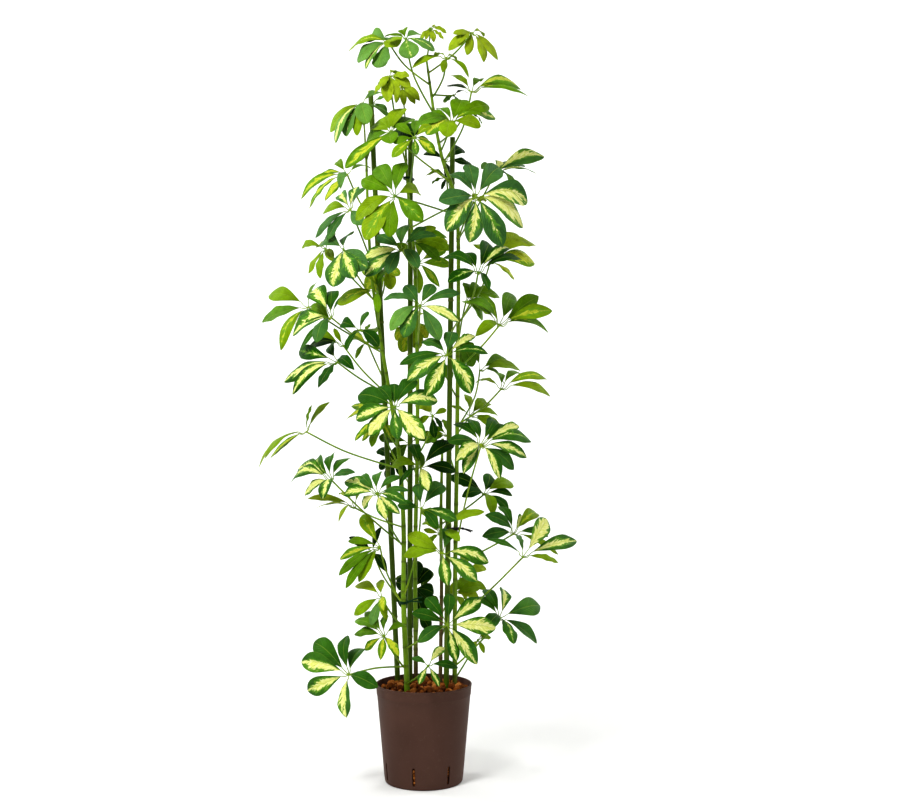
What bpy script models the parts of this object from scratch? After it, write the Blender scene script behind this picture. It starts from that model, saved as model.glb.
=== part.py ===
"""A variegated umbrella plant, tied to three canes, in a hydroculture pot filled with clay granules.

The origin is the centre of the pot's underside. +Z is up and -Y is the front. Blender's unit is the metre.
"""

import math

import bmesh
import bpy
from mathutils import Vector

CM = 0.01
MM = 0.001
GAP = 0.4 * MM
WELD_DISTANCE = 0.01 * MM
UP = Vector((0, 0, 1))

# Pot
POT_HEIGHT = 183 * MM
RIM_RADIUS = 90 * MM
BASE_RADIUS = 73 * MM
WALL = 2.6 * MM
COLLAR_DEPTH = 19 * MM
COLLAR_STEP = 0.8 * MM
COLLAR_EASE = 1.5 * MM
LIP_BEVEL = 1 * MM
FOOT_ROUND = 4 * MM
INNER_FILLET = 2 * MM
POT_STEPS = 36
SLOT_COUNT = 7
SLOT_WIDTH = 5.5 * MM
SLOT_CUT_DEPTH = 16 * MM
SLOT_HEIGHT = 34 * MM
SLOT_BOTTOM = 8 * MM
FIRST_SLOT_DEG = -103

# Clay granules
FILL_TOP = 166 * MM
FILL_STEPS = 24
HOLE_OVERRUN = 1 * MM
GRANULE_RADIUS = 9.4 * MM
GRANULE_SIZES = (0.75, 1.1)
GRANULE_LIFTS = (-3.0 * MM, 2.5 * MM)
# Rings of granules as (distance from the middle in millimetres, number in the ring).
GRANULE_RINGS = ((19, 3), (45, 8), (73, 14))

# Canes: foot and top as (right, back, up) in centimetres, then the heights of the node rings.
CANE_RADIUS = 5.4 * MM
CANE_RING = 0.7 * MM
CANE_RING_REACH = 3 * MM
CANES = {
    "cane_left": ((-4.6, 5.0, 7.0), (-10.1, 2.0, 129.7), (30, 58, 86, 108, 125)),
    "cane_back": ((-2.8, 5.8, 7.0), (-2.6, 3.4, 123.8), (26, 52, 80, 104)),
    "cane_right": ((4.1, 1.0, 7.0), (5.4, 0.4, 120.6), (34, 62, 90, 112)),
}

# Stems: points as (right, back, up, radius in millimetres), from the foot up.
STEMS = {
    "stem_tall": (
        (5.8, 3.0, 6.5, 4.6), (5.8, 2.9, 18, 4.6), (5.9, 2.2, 40, 4.2), (6.2, 1.6, 60, 4.0),
        (6.4, 1.2, 80, 3.8), (6.5, 0.8, 96, 3.6), (6.3, -0.2, 105, 3.5), (5.2, -0.95, 111.5, 3.4),
        (3.7, -1.2, 115.5, 3.2), (2.4, -1.3, 121.5, 3.0), (1.4, -1.2, 128.5, 2.6), (0.5, -1.0, 135, 2.0),
    ),
    "stem_left": (
        (-2.9, -3.0, 6.5, 5.4), (-3.1, -3.0, 20, 5.3), (-3.7, -2.0, 33, 5.0), (-3.8, 0.6, 47, 4.4),
        (-4.6, 1.6, 60, 4.0), (-6.4, 2.0, 72, 3.6), (-8.2, 1.6, 83, 3.4), (-9.9, 2.2, 95, 3.0),
        (-10.6, 2.0, 107, 2.7), (-10.9, 1.2, 119, 2.2),
    ),
    "stem_back": (
        (-1.5, 3.6, 6.5, 4.4), (-1.6, 3.6, 22, 4.3), (-1.7, 3.4, 42, 4.0), (-1.3, 3.2, 62, 3.8),
        (-1.3, 3.0, 82, 3.5), (-1.8, 2.3, 98, 3.2), (-2.8, 2.0, 108, 2.8), (-3.3, 1.9, 115, 2.4),
        (-3.5, 1.2, 121, 1.9),
    ),
    "stem_low": (
        (3.0, 3.2, 6.5, 3.8), (3.1, 3.1, 20, 3.7), (3.3, 2.6, 36, 3.4), (3.2, 2.6, 50, 3.0),
        (3.5, 2.8, 64, 2.4),
    ),
}

# Ties: (height, the members tied together, prong length in centimetres, prong bearing in degrees).
TIES = {
    "tie_low": (33.6, ("stem_left",), 3.0, 12),
    "tie_middle": (47.0, ("cane_right", "stem_tall"), 2.6, -14),
    "tie_top": (110.0, ("cane_right", "stem_tall"), 2.0, -20),
    "tie_back": (113.2, ("cane_back", "stem_back"), 1.6, 160),
}
TIE_RADIUS = 1.0 * MM
TIE_SLACK = 0.3 * MM
TIE_POINTS = 12
PRONG_FORWARD = -0.35
PRONG_BEND = 1 * MM

# Leaves
BLADE_THICKNESS = 0.9 * MM
HUB_RADIUS = 3.2 * MM
PETIOLE_RADIUS = 1.5 * MM
PETIOLE_COLLAR = 2.5 * MM
PETIOLE_GAP = 0.35 * MM
PETIOLE_REACH = 0.4
PETIOLE_AWAY = 0.6
PETIOLE_RISE = 0.35
PETIOLE_APPROACH = 0.25
HUB_OVERSHOOT = 1.2 * MM
CROWN_STALK_BEND = 2 * MM
# Leaflet roots round a hub, in radians: the least spacing, the most that two roots share a corner
# over, and half the width of a root that stands alone.
MIN_ROOT_SPACING = 0.62
SHARED_ROOT_GAP = 1.0
LONE_ROOT_HALF = 0.36
ROOT_PASSES = 60
SHORTEST_SHARE = 0.72
LONGEST = 10.8 * CM
# A leaf turns outwards by this slope for each centimetre that it stands to the side.
OUTWARD_TURN = 0.045
FACING_DOWN = -0.3
BLADE_ARCH = 0.07
NARROWEST_BLADE = 2.2 * MM
# Stations along a leaflet, as (share of its length, share of its greatest width).
BLADE_STATIONS = ((0.2, 0.07), (0.64, 1.0), (1.0, 0.36))


# Each spray is (node name, stem, height of its joint on the stem, its leaves). A leaf is (hub, lean,
# sag, blade width as a share of blade length, tips). The hub is (right, back, up) in centimetres.
# A lean of 0 faces the front, and a greater one faces further up. The tips are (right, up) from the
# hub in centimetres. How far each lies to the back follows from the lean and the sag, or is given third.
SPRAYS = (
    ("leaf_01", "stem_tall", 125.5, (
        ((-3.3, -5, 137.7), 1.0, 1.2, 0.5,
         ((1.2, -4.2), (5.4, -2.4), (2.6, 1.3, 1.6), (-3.6, 1.5), (-0.5, 2.6, 3.6))),
    )),
    ("leaf_02", "stem_tall", 130.5, (
        ((-6.8, 4, 139.4), 0.8, 1.2, 0.42,
         ((-7.7, -0.6), (-6.0, -3.6), (-4.4, -5.2), (-1.9, -5.4), (1.8, -2.0), (0.5, 1.8), (-4.0, 1.6))),
    )),
    ("leaf_03", "stem_tall", 132.6, (
        ((9.0, -3, 139.3), 0.8, 1.2, 0.4,
         ((-3.5, -1.1), (-4.3, -3.9), (-0.9, -4.6), (2.2, -5.9), (4.8, -5.1), (2.2, 0.6))),
    )),
    ("leaf_04", "stem_tall", 128.2, (
        ((4.2, -5, 134.2), 0.9, 1.0, 0.4,
         ((2.0, 0.6), (4.2, -3.9), (-0.6, -3.4), (-6.2, -2.1), (-2.2, 1.4))),
        ((5.6, 2, 128.9), 0.9, 0.6, 0.36, ((-1.9, -1.6), (1.2, -2.6), (2.8, 0.8))),
    )),
    ("leaf_05", "stem_back", 116.5, (
        ((-6.3, -4, 131.0), 0.8, 1.0, 0.4,
         ((1.4, 1.2), (-2.7, -3.3), (-1.2, -2.6), (-0.1, -5.4), (3.8, -0.5), (4.0, -2.4))),
    )),
    ("leaf_06", "stem_left", 118.5, (
        ((-11.6, -3, 126.2), 0.7, 1.2, 0.4,
         ((-6.0, -4.8), (-4.8, -7.3), (-2.8, -6.2), (-0.6, -6.3), (1.4, -4.5), (5.2, 2.2), (5.6, -1.3))),
    )),
    ("leaf_07", "stem_tall", 112.4, (
        ((-5.8, -9, 119.8), 0.5, 0.8, 0.4,
         ((-1.1, 4.2), (2.0, 5.3), (3.6, 3.6), (-3.5, 2.4), (-4.8, -0.9), (-8.2, -6.6),
          (-5.6, -5.4), (0.4, -3.4))),
    )),
    ("leaf_08", "stem_tall", 118.0, (
        ((5.3, -6, 122.2), 0.6, 0.8, 0.42,
         ((1.8, 5.2), (7.0, 4.0), (6.2, 1.6), (4.8, -0.9), (-5.1, 1.3), (-2.7, 3.6), (-6.2, -0.9),
          (-4.6, -3.0), (-1.0, -3.6))),
    )),
    ("leaf_09", "stem_tall", 116.2, (
        ((8.9, -3, 128.4), 1.2, 1.0, 0.34,
         ((9.4, 1.6), (10.6, -0.3), (7.6, 3.2), (-4.7, 2.3), (-4.2, 4.2), (1.9, 3.6))),
    )),
    ("leaf_10", "stem_back", 110.6, (
        ((-1.3, -15.5, 117.5), 0.5, 0.8, 0.4,
         ((-3.4, 2.9), (0.3, 3.6), (2.9, 2.6), (2.6, -0.2), (-3.8, -0.8), (-4.0, -3.6), (0.4, -3.4),
          (3.6, -3.0))),
    )),
    ("leaf_11", "stem_back", 104.0, (
        ((9.5, -14, 107.3), 0.35, 0.8, 0.48,
         ((-4.3, 4.8), (-1.4, 6.4), (2.2, 6.6), (5.3, 5.1), (9.4, -0.2), (8.8, -4.8), (4.8, -8.7),
          (-1.1, -8.3), (-5.1, -6.4), (-6.4, -1.1))),
    )),
    ("leaf_12", "stem_tall", 106.0, (
        ((-4.9, -13, 107.6), 0.4, 0.8, 0.46,
         ((-3.2, 6.2), (-6.2, 3.7), (1.4, 6.6), (4.3, 1.4), (-7.1, -4.1), (-5.2, -8.0), (-0.9, -7.5),
          (4.8, -4.6))),
    )),
    ("leaf_13", "stem_tall", 101.5, (
        ((13.6, 10, 115.2), 1.5, 0.8, 0.34,
         ((9.8, 4.0), (6.3, 3.6), (2.3, 3.0), (-2.4, 2.3), (8.6, 1.4), (4.0, -2.0))),
        ((4.0, 14, 118.4), 0.8, 0.8, 0.4,
         ((5.5, -0.4), (3.6, 3.4), (-4.4, 2.0), (0.6, -4.4))),
    )),
    ("leaf_14", "stem_back", 96.0, (
        ((-3.9, -7, 98.7), 0.6, 0.8, 0.42,
         ((-4.6, 3.1), (0.5, 5.1), (4.4, 4.6), (-7.1, -1.5), (-6.6, -4.9), (-2.4, -4.6), (3.2, -3.6))),
    )),
    ("leaf_15", "stem_back", 91.0, (
        ((-1.5, 15, 98.4), -0.6, 0.8, 0.44,
         ((5.8, 2.7), (1.5, 5.4), (6.8, -0.6), (4.4, -4.4), (0.2, -5.8), (-4.2, 3.8))),
    )),
    ("leaf_16", "stem_tall", 86.5, (
        ((10.1, -6, 94.6), 0.8, 0.8, 0.4,
         ((-6.4, 3.1), (-3.1, 4.2), (2.2, 6.1), (5.9, 5.3), (8.3, 3.3), (-5.5, -2.0), (1.8, -3.6))),
        ((12.8, 12, 98.3), 0.9, 0.8, 0.42,
         ((9.2, 3.8), (9.2, 0.6), (5.3, -3.1), (5.6, 6.4), (-3.0, 4.4))),
    )),
    ("leaf_17", "stem_tall", 77.5, (
        ((14.0, -5, 85.0), 0.8, 0.8, 0.4,
         ((3.0, 6.3), (7.6, 5.8), (10.0, 3.0), (9.6, -0.9), (-3.6, 5.9, -1.0), (-5.6, 4.5, -2.5))),
    )),
    ("leaf_18", "stem_back", 82.0, (
        ((-0.5, -10, 88.3), 0.5, 0.8, 0.46,
         ((-2.6, -5.4), (-5.6, -4.2), (3.6, -6.3), (-6.7, 1.2), (-2.9, 4.0), (2.4, 4.2), (7.2, 2.5),
          (7.0, -2.9))),
    )),
    ("leaf_19", "stem_left", 84.5, (
        ((-8.4, -6, 91.2), 0.8, 0.8, 0.36,
         ((-7.6, -2.0), (-3.2, 3.8), (1.4, 4.4), (0.4, -4.2))),
        ((-11.4, -9, 83.9), 0.6, 0.8, 0.42, ((-2.4, -3.6), (-3.6, 1.6), (3.6, -3.0), (1.0, 3.6))),
    )),
    ("leaf_20", "stem_left", 106.5, (
        ((-14.9, 7, 114.7), 0.8, 0.8, 0.34,
         ((-7.2, -1.6), (-9.3, -4.2), (-7.4, -6.4), (-4.0, -5.4), (-0.8, -3.6), (4.2, 2.5), (-2.6, 3.6))),
    )),
    ("leaf_21", "stem_left", 98.5, (
        ((-13.4, -5, 106.3), 0.7, 0.8, 0.42,
         ((-2.2, 3.6), (1.0, 4.8), (4.2, 4.6), (-5.6, 0.2), (-4.4, -5.6), (-6.8, -4.8), (2.6, -3.4))),
    )),
    ("leaf_22", "stem_left", 90.5, (
        ((-18.6, 2, 99.9), 0.7, 0.6, 0.36, ((-5.2, 0.7), (-3.4, -4.6), (-0.9, -5.8), (1.6, 3.2))),
        ((-14.6, -6, 98.9), 0.5, 0.8, 0.46,
         ((-1.8, -7.0), (2.4, -5.6), (4.6, -3.8), (-4.2, 2.2), (1.2, 3.4))),
    )),
    ("leaf_23", "stem_left", 80.5, (
        ((-22.6, 9, 89.3), 0.9, 0.8, 0.38,
         ((-8.7, 2.8), (-9.6, -2.6), (-5.3, -8.4), (0.9, 5.4), (4.4, -2.6))),
        ((-17.0, -4, 86.5), 0.8, 0.8, 0.36,
         ((-0.6, 5.6), (3.4, 4.8), (-7.4, -0.7), (-7.6, -3.2), (-6.2, -6.0), (-2.2, -4.8))),
    )),
    ("leaf_24", "stem_left", 72.5, (
        ((-15.7, -6, 78.2), 0.9, 0.8, 0.4,
         ((-10.6, -3.4), (-8.6, -5.8), (-3.0, -4.6), (-8.0, 2.4), (-1.6, 3.4), (3.6, -1.6))),
        ((-15.2, 2, 81.5), 1.0, 0.8, 0.38, ((-1.9, 3.4, 0.5), (-7.2, 2.6), (-7.6, -0.6), (3.6, 3.2, -0.5))),
    )),
    ("leaf_25", "stem_tall", 86.0, (
        ((4.4, -13, 79.3), 0.4, 0.8, 0.44,
         ((-8.4, -1.6), (-7.0, -4.6), (-3.6, -7.3), (4.3, -6.8), (-4.5, 2.7), (1.0, 4.4), (5.2, 3.6),
          (7.4, 0.4))),
    )),
    ("leaf_26", "stem_tall", 67.0, (
        ((14.3, -5, 73.3), 1.2, 0.8, 0.36,
         ((-4.6, 1.5), (0.4, 3.0), (8.9, 1.9), (9.6, -1.1), (4.0, 3.0))),
        ((10.8, 12, 77.1), 1.0, 0.8, 0.36, ((5.5, 2.6), (8.4, 0.0), (5.0, -2.4), (-1.6, 4.3))),
    )),
    ("leaf_27", "stem_low", 62.0, (
        ((8.9, 14, 68.2), 1.0, 0.8, 0.38,
         ((4.4, 2.4), (5.6, 0.0), (5.6, -3.2), (-0.8, 4.4), (-4.6, 1.6))),
    )),
    ("leaf_28", "stem_tall", 44.5, (
        ((10.5, -12, 63.2), 0.5, 0.8, 0.44,
         ((-5.9, 0.8), (-5.0, 3.6), (-2.5, 4.8), (2.6, 4.6), (7.3, 3.4), (9.3, 0.6), (8.4, -2.3),
          (6.1, -4.4), (3.2, -5.8), (-4.1, -4.5))),
    )),
    ("leaf_29", "stem_left", 62.5, (
        ((-4.9, -13, 70.0), 0.5, 0.8, 0.46,
         ((-6.8, 2.1), (-3.2, 3.6), (-0.2, 4.2), (3.7, 5.0), (7.6, 1.2), (5.3, -5.5), (0.6, -5.6),
          (-4.6, -5.0), (-7.1, -2.1))),
        ((-8.2, -6, 67.6), 1.0, 0.8, 0.34, ((-5.4, 2.6), (-6.4, -0.2), (-4.2, -3.6), (2.6, -3.6))),
    )),
    ("leaf_30", "stem_left", 58.5, (
        ((-22.3, 3, 65.3), 2, 0.4, 0.3,
         ((4.3, 5.6, 1.5), (3.4, 4.4, -2.0), (1.0, 5.2, -0.5), (-9.2, -6.6, -1.0), (-7.2, -5.2, 2.6),
          (-7.6, -4.6, -3.6))),
    )),
    ("leaf_31", "stem_left", 44.5, (
        ((-17.1, -3, 56.5), 0.9, 0.8, 0.38,
         ((-0.4, 4.4), (-3.2, 3.9), (-7.2, 1.7), (-8.3, -0.8), (-5.6, -3.0), (-0.9, -3.0), (3.0, 3.7),
          (4.6, 1.8))),
        ((-8.2, -10, 54.4), 0.6, 0.8, 0.42,
         ((0.0, 3.6), (-3.1, 3.1), (4.1, 3.1), (-6.3, 2.1), (-6.3, -0.4), (-2.9, -3.0), (1.8, -4.2),
          (5.4, -1.6))),
    )),
    ("leaf_32", "stem_left", 47.5, (
        ((-13.4, 7, 50.6), 1.6, 0.4, 0.32,
         ((-9.6, 1.4), (-8.0, -0.4), (-3.6, 2.2), (0.6, 2.4), (-2.7, -1.8))),
    )),
    ("leaf_33", "stem_back", 51.5, (
        ((-0.4, -8, 59.1), 0.7, 0.8, 0.44,
         ((6.0, 4.2), (6.4, -0.6), (1.4, -4.0), (-5.4, 0.4), (-4.0, -3.4, 0.5), (-1.6, 4.2))),
    )),
    ("leaf_34", "stem_back", 57.0, (
        ((-3.2, 16, 62.7), -0.5, 0.8, 0.46, ((-6.0, 1.4), (-3.6, -4.4), (2.6, -4.8), (5.6, 0.8), (0.6, 5.2))),
    )),
    ("leaf_35", "stem_low", 48.0, (
        ((11.6, 10, 53.0), 1.0, 0.8, 0.36,
         ((5.8, 1.8), (5.6, -0.6), (5.0, -3.4), (1.5, -3.6), (-5.2, 2.6), (1.2, 3.8))),
    )),
    ("leaf_36", "stem_left", 35.5, (
        ((-0.3, -9, 51.7), 0.6, 0.8, 0.42,
         ((4.2, 4.0), (6.5, -2.0), (3.0, -3.4), (-4.4, 0.4), (-0.6, 4.2))),
    )),
    ("leaf_37", "stem_left", 34.2, (
        ((-8.0, -5, 44.3), 0.4, 0.5, 0.42,
         ((-3.5, 5.5), (-5.9, 1.8), (-7.4, -1.0), (-8.3, -4.6), (-6.6, -7.4), (-3.6, -6.6))),
        ((-9.6, 2, 42.4), 0.8, 0.5, 0.38, ((-4.4, 3.2, -2.0), (1.4, 5.0, -1.0), (2.8, -3.2), (-3.6, -2.4))),
    )),
    ("leaf_38", "stem_left", 29.5, (
        ((-7.6, -6, 35.2), 0.8, 0.8, 0.42,
         ((-5.1, 1.6), (-5.1, -3.3), (-1.8, -4.9), (-0.5, 2.8), (1.0, -3.6))),
    )),
    ("leaf_39", "stem_low", 40.0, (
        ((3.4, -5, 47.5), 0.8, 0.6, 0.34, ((-3.6, 1.0), (-3.0, 3.6), (7.8, 3.4, -1.0), (3.2, -1.6))),
        ((3.6, -10, 43.7), 0.5, 0.8, 0.44,
         ((8.4, -1.8), (6.2, -5.0), (0.9, -5.4), (-6.4, 3.2), (-7.0, -0.4), (1.2, 3.8))),
    )),
    ("leaf_40", "stem_tall", 40.5, (
        ((16.9, 1, 46.1), 0.8, 0.6, 0.34,
         ((-6.0, 0.0), (-5.4, 3.9), (-2.8, 4.9), (4.9, 3.4), (8.8, -4.3), (6.9, -1.0))),
    )),
    ("leaf_41", "stem_tall", 30.0, (
        ((18.1, -10, 43.0), 0.9, 0.6, 0.38,
         ((-6.4, 3.6), (-0.8, 3.6), (5.0, 6.4), (10.8, 1.8), (6.8, -1.6))),
    )),
    ("leaf_42", "stem_low", 31.0, (
        ((6.9, 12, 36.3), 0.9, 0.6, 0.42, ((5.3, 1.4), (5.3, -2.4), (1.1, -3.9), (-2.4, -3.4), (0.6, 4.4))),
    )),
    ("leaf_43", "stem_tall", 21.5, (
        ((14.3, 1, 30.3), 0.8, 0.8, 0.44,
         ((-5.4, 3.3), (-2.8, 4.6), (0.8, 4.7), (8.3, 1.3), (7.2, -5.0), (2.4, -3.6), (-3.2, -1.4))),
    )),
    ("leaf_44", "stem_left", 25.5, (
        ((4.5, -15, 31.6), 0.4, 0.8, 0.44,
         ((0.4, 5.1), (-3.9, 4.4), (-6.3, 2.1), (-5.2, -2.6), (6.0, 3.9), (8.7, -1.0), (1.6, -6.2),
          (5.2, -6.8))),
    )),
    ("leaf_45", "stem_left", 22.0, (
        ((-7.0, -9, 28.6), 0.6, 0.8, 0.4,
         ((-3.7, 3.6), (-5.7, 2.2), (-5.6, -0.2), (-3.7, -3.0), (-0.5, -3.4), (2.8, -3.0), (0.2, 3.2),
          (3.8, 1.4))),
        ((-13.1, -13, 22.4), 0.3, 0.8, 0.4,
         ((-0.8, 6.3), (-6.9, 4.6), (-9.2, 1.3), (-7.9, -3.9), (-0.2, -6.7), (5.3, -1.0), (2.2, 3.6))),
    )),
    ("leaf_46", "stem_left", 19.0, (
        ((1.0, -11, 23.6), 0.7, 0.6, 0.38,
         ((-3.0, 1.1), (-1.6, -2.8), (2.0, -3.4), (5.4, -0.4), (3.0, 2.8))),
    )),
    ("leaf_47", "stem_back", 27.5, (
        ((-1.0, 14, 33.0), -0.5, 0.8, 0.46,
         ((1.4, 5.8), (-4.4, 4.0), (-5.0, -1.2), (3.4, -2.8), (-0.8, -4.8))),
    )),
)
# The youngest leaf at the tip of a stem, in the same form as above.
CROWNS = {
    "stem_tall": ((1.2, -1, 140.7), 0.8, 0.6, 0.36,
                  ((-1.9, -2.2, 2.0), (-0.8, -2.4), (0.7, -3.0), (2.5, -2.4), (3.1, -0.9), (1.2, 0.8))),
    "stem_back": ((-4.2, 1, 130.3), 0.7, 0.6, 0.34,
                  ((-1.0, -3.4), (0.6, -4.1), (2.2, -2.6), (2.6, -3.9), (3.5, -3.2), (-1.8, 0.4))),
}


def material(name, colour, roughness):
    """A Principled BSDF material."""
    made = bpy.data.materials.new(name)
    made.use_nodes = True
    shader = made.node_tree.nodes["Principled BSDF"]
    shader.inputs["Base Color"].default_value = (*colour, 1)
    shader.inputs["Roughness"].default_value = roughness
    made.diffuse_color = (*colour, 1)
    return made


def collection(name, parent):
    """A new collection inside another."""
    made = bpy.data.collections.new(name)
    parent.children.link(made)
    return made


def add_object(name, mesh, into, looks=None):
    """A new object that holds the mesh."""
    obj = bpy.data.objects.new(name, mesh)
    into.objects.link(obj)
    if looks:
        mesh.materials.append(looks)
    return obj


def remove_object(obj):
    bpy.data.objects.remove(obj, do_unlink=True)


def apply_modifiers(obj):
    """Replaces the object's mesh by its evaluated one."""
    bpy.context.view_layer.update()
    graph = bpy.context.evaluated_depsgraph_get()
    mesh = bpy.data.meshes.new_from_object(obj.evaluated_get(graph))
    obj.modifiers.clear()
    obj.data = mesh


def mesh_from(bm, name):
    """A mesh from a bmesh, which is freed."""
    mesh = bpy.data.meshes.new(name)
    bm.to_mesh(mesh)
    bm.free()
    return mesh


def tube(name, points, radii, into, looks=None, resolution=1, closed=False):
    """A closed mesh tube along the points, with its own radius at each."""
    curve = bpy.data.curves.new(name, "CURVE")
    curve.dimensions = "3D"
    curve.bevel_depth = 1.0
    curve.bevel_resolution = resolution
    curve.use_fill_caps = not closed
    spline = curve.splines.new("POLY")
    spline.points.add(len(points) - 1)
    for place, point, radius in zip(spline.points, points, radii):
        place.co = (*point, 1)
        place.radius = radius
    spline.use_cyclic_u = closed
    guide = add_object(name + "_guide", curve, into)
    bpy.context.view_layer.update()
    graph = bpy.context.evaluated_depsgraph_get()
    mesh = bpy.data.meshes.new_from_object(guide.evaluated_get(graph))
    remove_object(guide)
    bm = bmesh.new()
    bm.from_mesh(mesh)
    bmesh.ops.remove_doubles(bm, verts=bm.verts, dist=WELD_DISTANCE)
    bmesh.ops.recalc_face_normals(bm, faces=bm.faces)
    bm.to_mesh(mesh)
    bm.free()
    mesh.materials.clear()
    return add_object(name, mesh, into, looks)


def unite(obj, others, solver="EXACT"):
    """Joins the others to the object in one Boolean union on their collection, and removes them."""
    if not others:
        return
    group = collection(obj.name + "_pieces", bpy.context.scene.collection)
    for other in others:
        for holder in other.users_collection:
            holder.objects.unlink(other)
        group.objects.link(other)
    union = obj.modifiers.new("Union", "BOOLEAN")
    union.operation = "UNION"
    union.operand_type = "COLLECTION"
    union.collection = group
    union.solver = solver
    apply_modifiers(obj)
    for other in others:
        remove_object(other)
    bpy.data.collections.remove(group)


def cut(obj, cutters, folder):
    """Cuts each cutter from the object. The cutters stay in their folder, hidden."""
    for cutter in cutters:
        cutter.hide_render = True
        cutter.display_type = "WIRE"
        for holder in cutter.users_collection:
            holder.objects.unlink(cutter)
        folder.objects.link(cutter)
        difference = obj.modifiers.new("Cut", "BOOLEAN")
        difference.operation = "DIFFERENCE"
        difference.object = cutter


def turned(name, profile, into, looks, steps=POT_STEPS):
    """A closed body turned from a profile of (radius, height) points, listed from top to bottom outside."""
    bm = bmesh.new()
    corners = [bm.verts.new((radius, 0, height)) for radius, height in profile]
    for first, second in zip(corners, corners[1:]):
        bm.edges.new((first, second))
    obj = add_object(name, mesh_from(bm, name), into, looks)
    screw = obj.modifiers.new("Screw", "SCREW")
    screw.steps = steps
    screw.render_steps = steps
    screw.use_merge_vertices = True
    screw.merge_threshold = WELD_DISTANCE
    return obj


def pot_radius(height):
    """The pot's outer radius at a height."""
    return BASE_RADIUS + (RIM_RADIUS - COLLAR_STEP - BASE_RADIUS) * height / POT_HEIGHT


def slot_cutter(number, into):
    """A block that cuts one drainage slot through the pot's wall."""
    bm = bmesh.new()
    bmesh.ops.create_cube(bm, size=1)
    for vert in bm.verts:
        vert.co.x *= SLOT_CUT_DEPTH
        vert.co.y *= SLOT_WIDTH
        vert.co.z *= SLOT_HEIGHT
    obj = add_object(f"slot_cutter_{number}", mesh_from(bm, "slot"), into)
    bearing = math.radians(FIRST_SLOT_DEG + 360 / SLOT_COUNT * number)
    middle = SLOT_BOTTOM + SLOT_HEIGHT / 2
    away = pot_radius(middle)
    obj.location = (away * math.cos(bearing), away * math.sin(bearing), middle)
    obj.rotation_euler.z = bearing
    return obj


def make_pot(into, cutters, looks):
    """The tapered pot: a thin collar under the rim, a rounded foot and slots above the foot."""
    collar_z = POT_HEIGHT - COLLAR_DEPTH
    inner_top = RIM_RADIUS - COLLAR_STEP - WALL
    inner_foot = BASE_RADIUS - WALL
    outer = [
        (inner_top, POT_HEIGHT - LIP_BEVEL),
        (inner_top + LIP_BEVEL, POT_HEIGHT),
        (RIM_RADIUS, POT_HEIGHT - LIP_BEVEL / 2),
        (pot_radius(collar_z) + COLLAR_STEP, collar_z),
        (pot_radius(collar_z), collar_z - COLLAR_EASE),
        (pot_radius(FOOT_ROUND), FOOT_ROUND),
        (BASE_RADIUS - 0.3 * FOOT_ROUND, 0.3 * FOOT_ROUND),
        (BASE_RADIUS - FOOT_ROUND, 0),
        (0, 0),
    ]
    inner = [
        (0, WALL),
        (inner_foot - INNER_FILLET, WALL),
        (inner_foot, WALL + INNER_FILLET),
        (inner_top, POT_HEIGHT - LIP_BEVEL),
    ]
    pot = turned("pot", outer + inner, into, looks)
    cut(pot, [slot_cutter(number, cutters) for number in range(SLOT_COUNT)], cutters)
    return pot


def scattered(number, limits, salt):
    """A repeatable value between two limits for a numbered item."""
    low, high = limits
    wave = math.sin(number * 12.9898 + salt * 78.233) * 43758.5453
    return low + (high - low) * (wave - math.floor(wave))


def make_granules(into, cutters, looks, feet):
    """The filling of the pot, with a bumpy top of round granules and a hole for each cane and stem."""
    clear = WALL + GAP
    foot = BASE_RADIUS - clear
    top = pot_radius(FILL_TOP) - clear
    profile = [
        (0, FILL_TOP),
        (top, FILL_TOP),
        (foot, WALL + GAP + INNER_FILLET),
        (foot - INNER_FILLET, WALL + GAP),
        (0, WALL + GAP),
    ]
    filling = turned("granules", profile, into, looks, FILL_STEPS)
    apply_modifiers(filling)
    lumps = []
    for ring_mm, count in GRANULE_RINGS:
        for step in range(count):
            number = len(lumps)
            bearing = 2 * math.pi * step / count + ring_mm
            away = ring_mm * MM
            radius = GRANULE_RADIUS * scattered(number, GRANULE_SIZES, 1)
            lift = FILL_TOP + scattered(number, GRANULE_LIFTS, 2)
            bm = bmesh.new()
            bmesh.ops.create_icosphere(bm, subdivisions=1, radius=radius)
            lump = add_object(f"granule_{number}", mesh_from(bm, "granule"), into)
            lump.location = (away * math.cos(bearing), away * math.sin(bearing), lift)
            lump.rotation_euler = (number, 2 * number, 3 * number)
            lumps.append(lump)
    unite(filling, lumps, "MANIFOLD")
    cut(filling, feet, cutters)
    return filling


def member_paths():
    """For each cane and stem, its centre line and radii."""
    paths = {}
    for name, (foot, top, rings) in CANES.items():
        foot = Vector(foot) * CM
        top = Vector(top) * CM
        stations = [(foot, CANE_RADIUS)]
        for ring in rings:
            for shift, swell in ((-CANE_RING_REACH, 0), (0, CANE_RING), (CANE_RING_REACH, 0)):
                height = ring * CM + shift
                share = (height - foot.z) / (top.z - foot.z)
                stations.append((foot.lerp(top, share), CANE_RADIUS + swell))
        stations.append((top, CANE_RADIUS))
        paths[name] = stations
    for name, points in STEMS.items():
        paths[name] = [(Vector(point[:3]) * CM, point[3] * MM) for point in points]
    return paths


def at_height(path, height):
    """The centre and the radius of a cane or stem at a height."""
    for (low, low_radius), (high, high_radius) in zip(path, path[1:]):
        if high.z >= height or high is path[-1][0]:
            share = (height - low.z) / (high.z - low.z)
            return low.lerp(high, share), low_radius + (high_radius - low_radius) * share


def make_member(name, path, into, looks):
    """A cane or a stem."""
    return tube(name, [point for point, _ in path], [radius for _, radius in path], into, looks)


def foot_cutter(name, path, into):
    """The plain hole in the granules for a cane or a stem."""
    centres = [point for point, _ in path]
    radii = [radius + GAP for _, radius in path]
    below = centres[0] - (centres[1] - centres[0]).normalized() * HOLE_OVERRUN
    return tube(name + "_hole", [below, *centres[1:]], radii, into)


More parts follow.
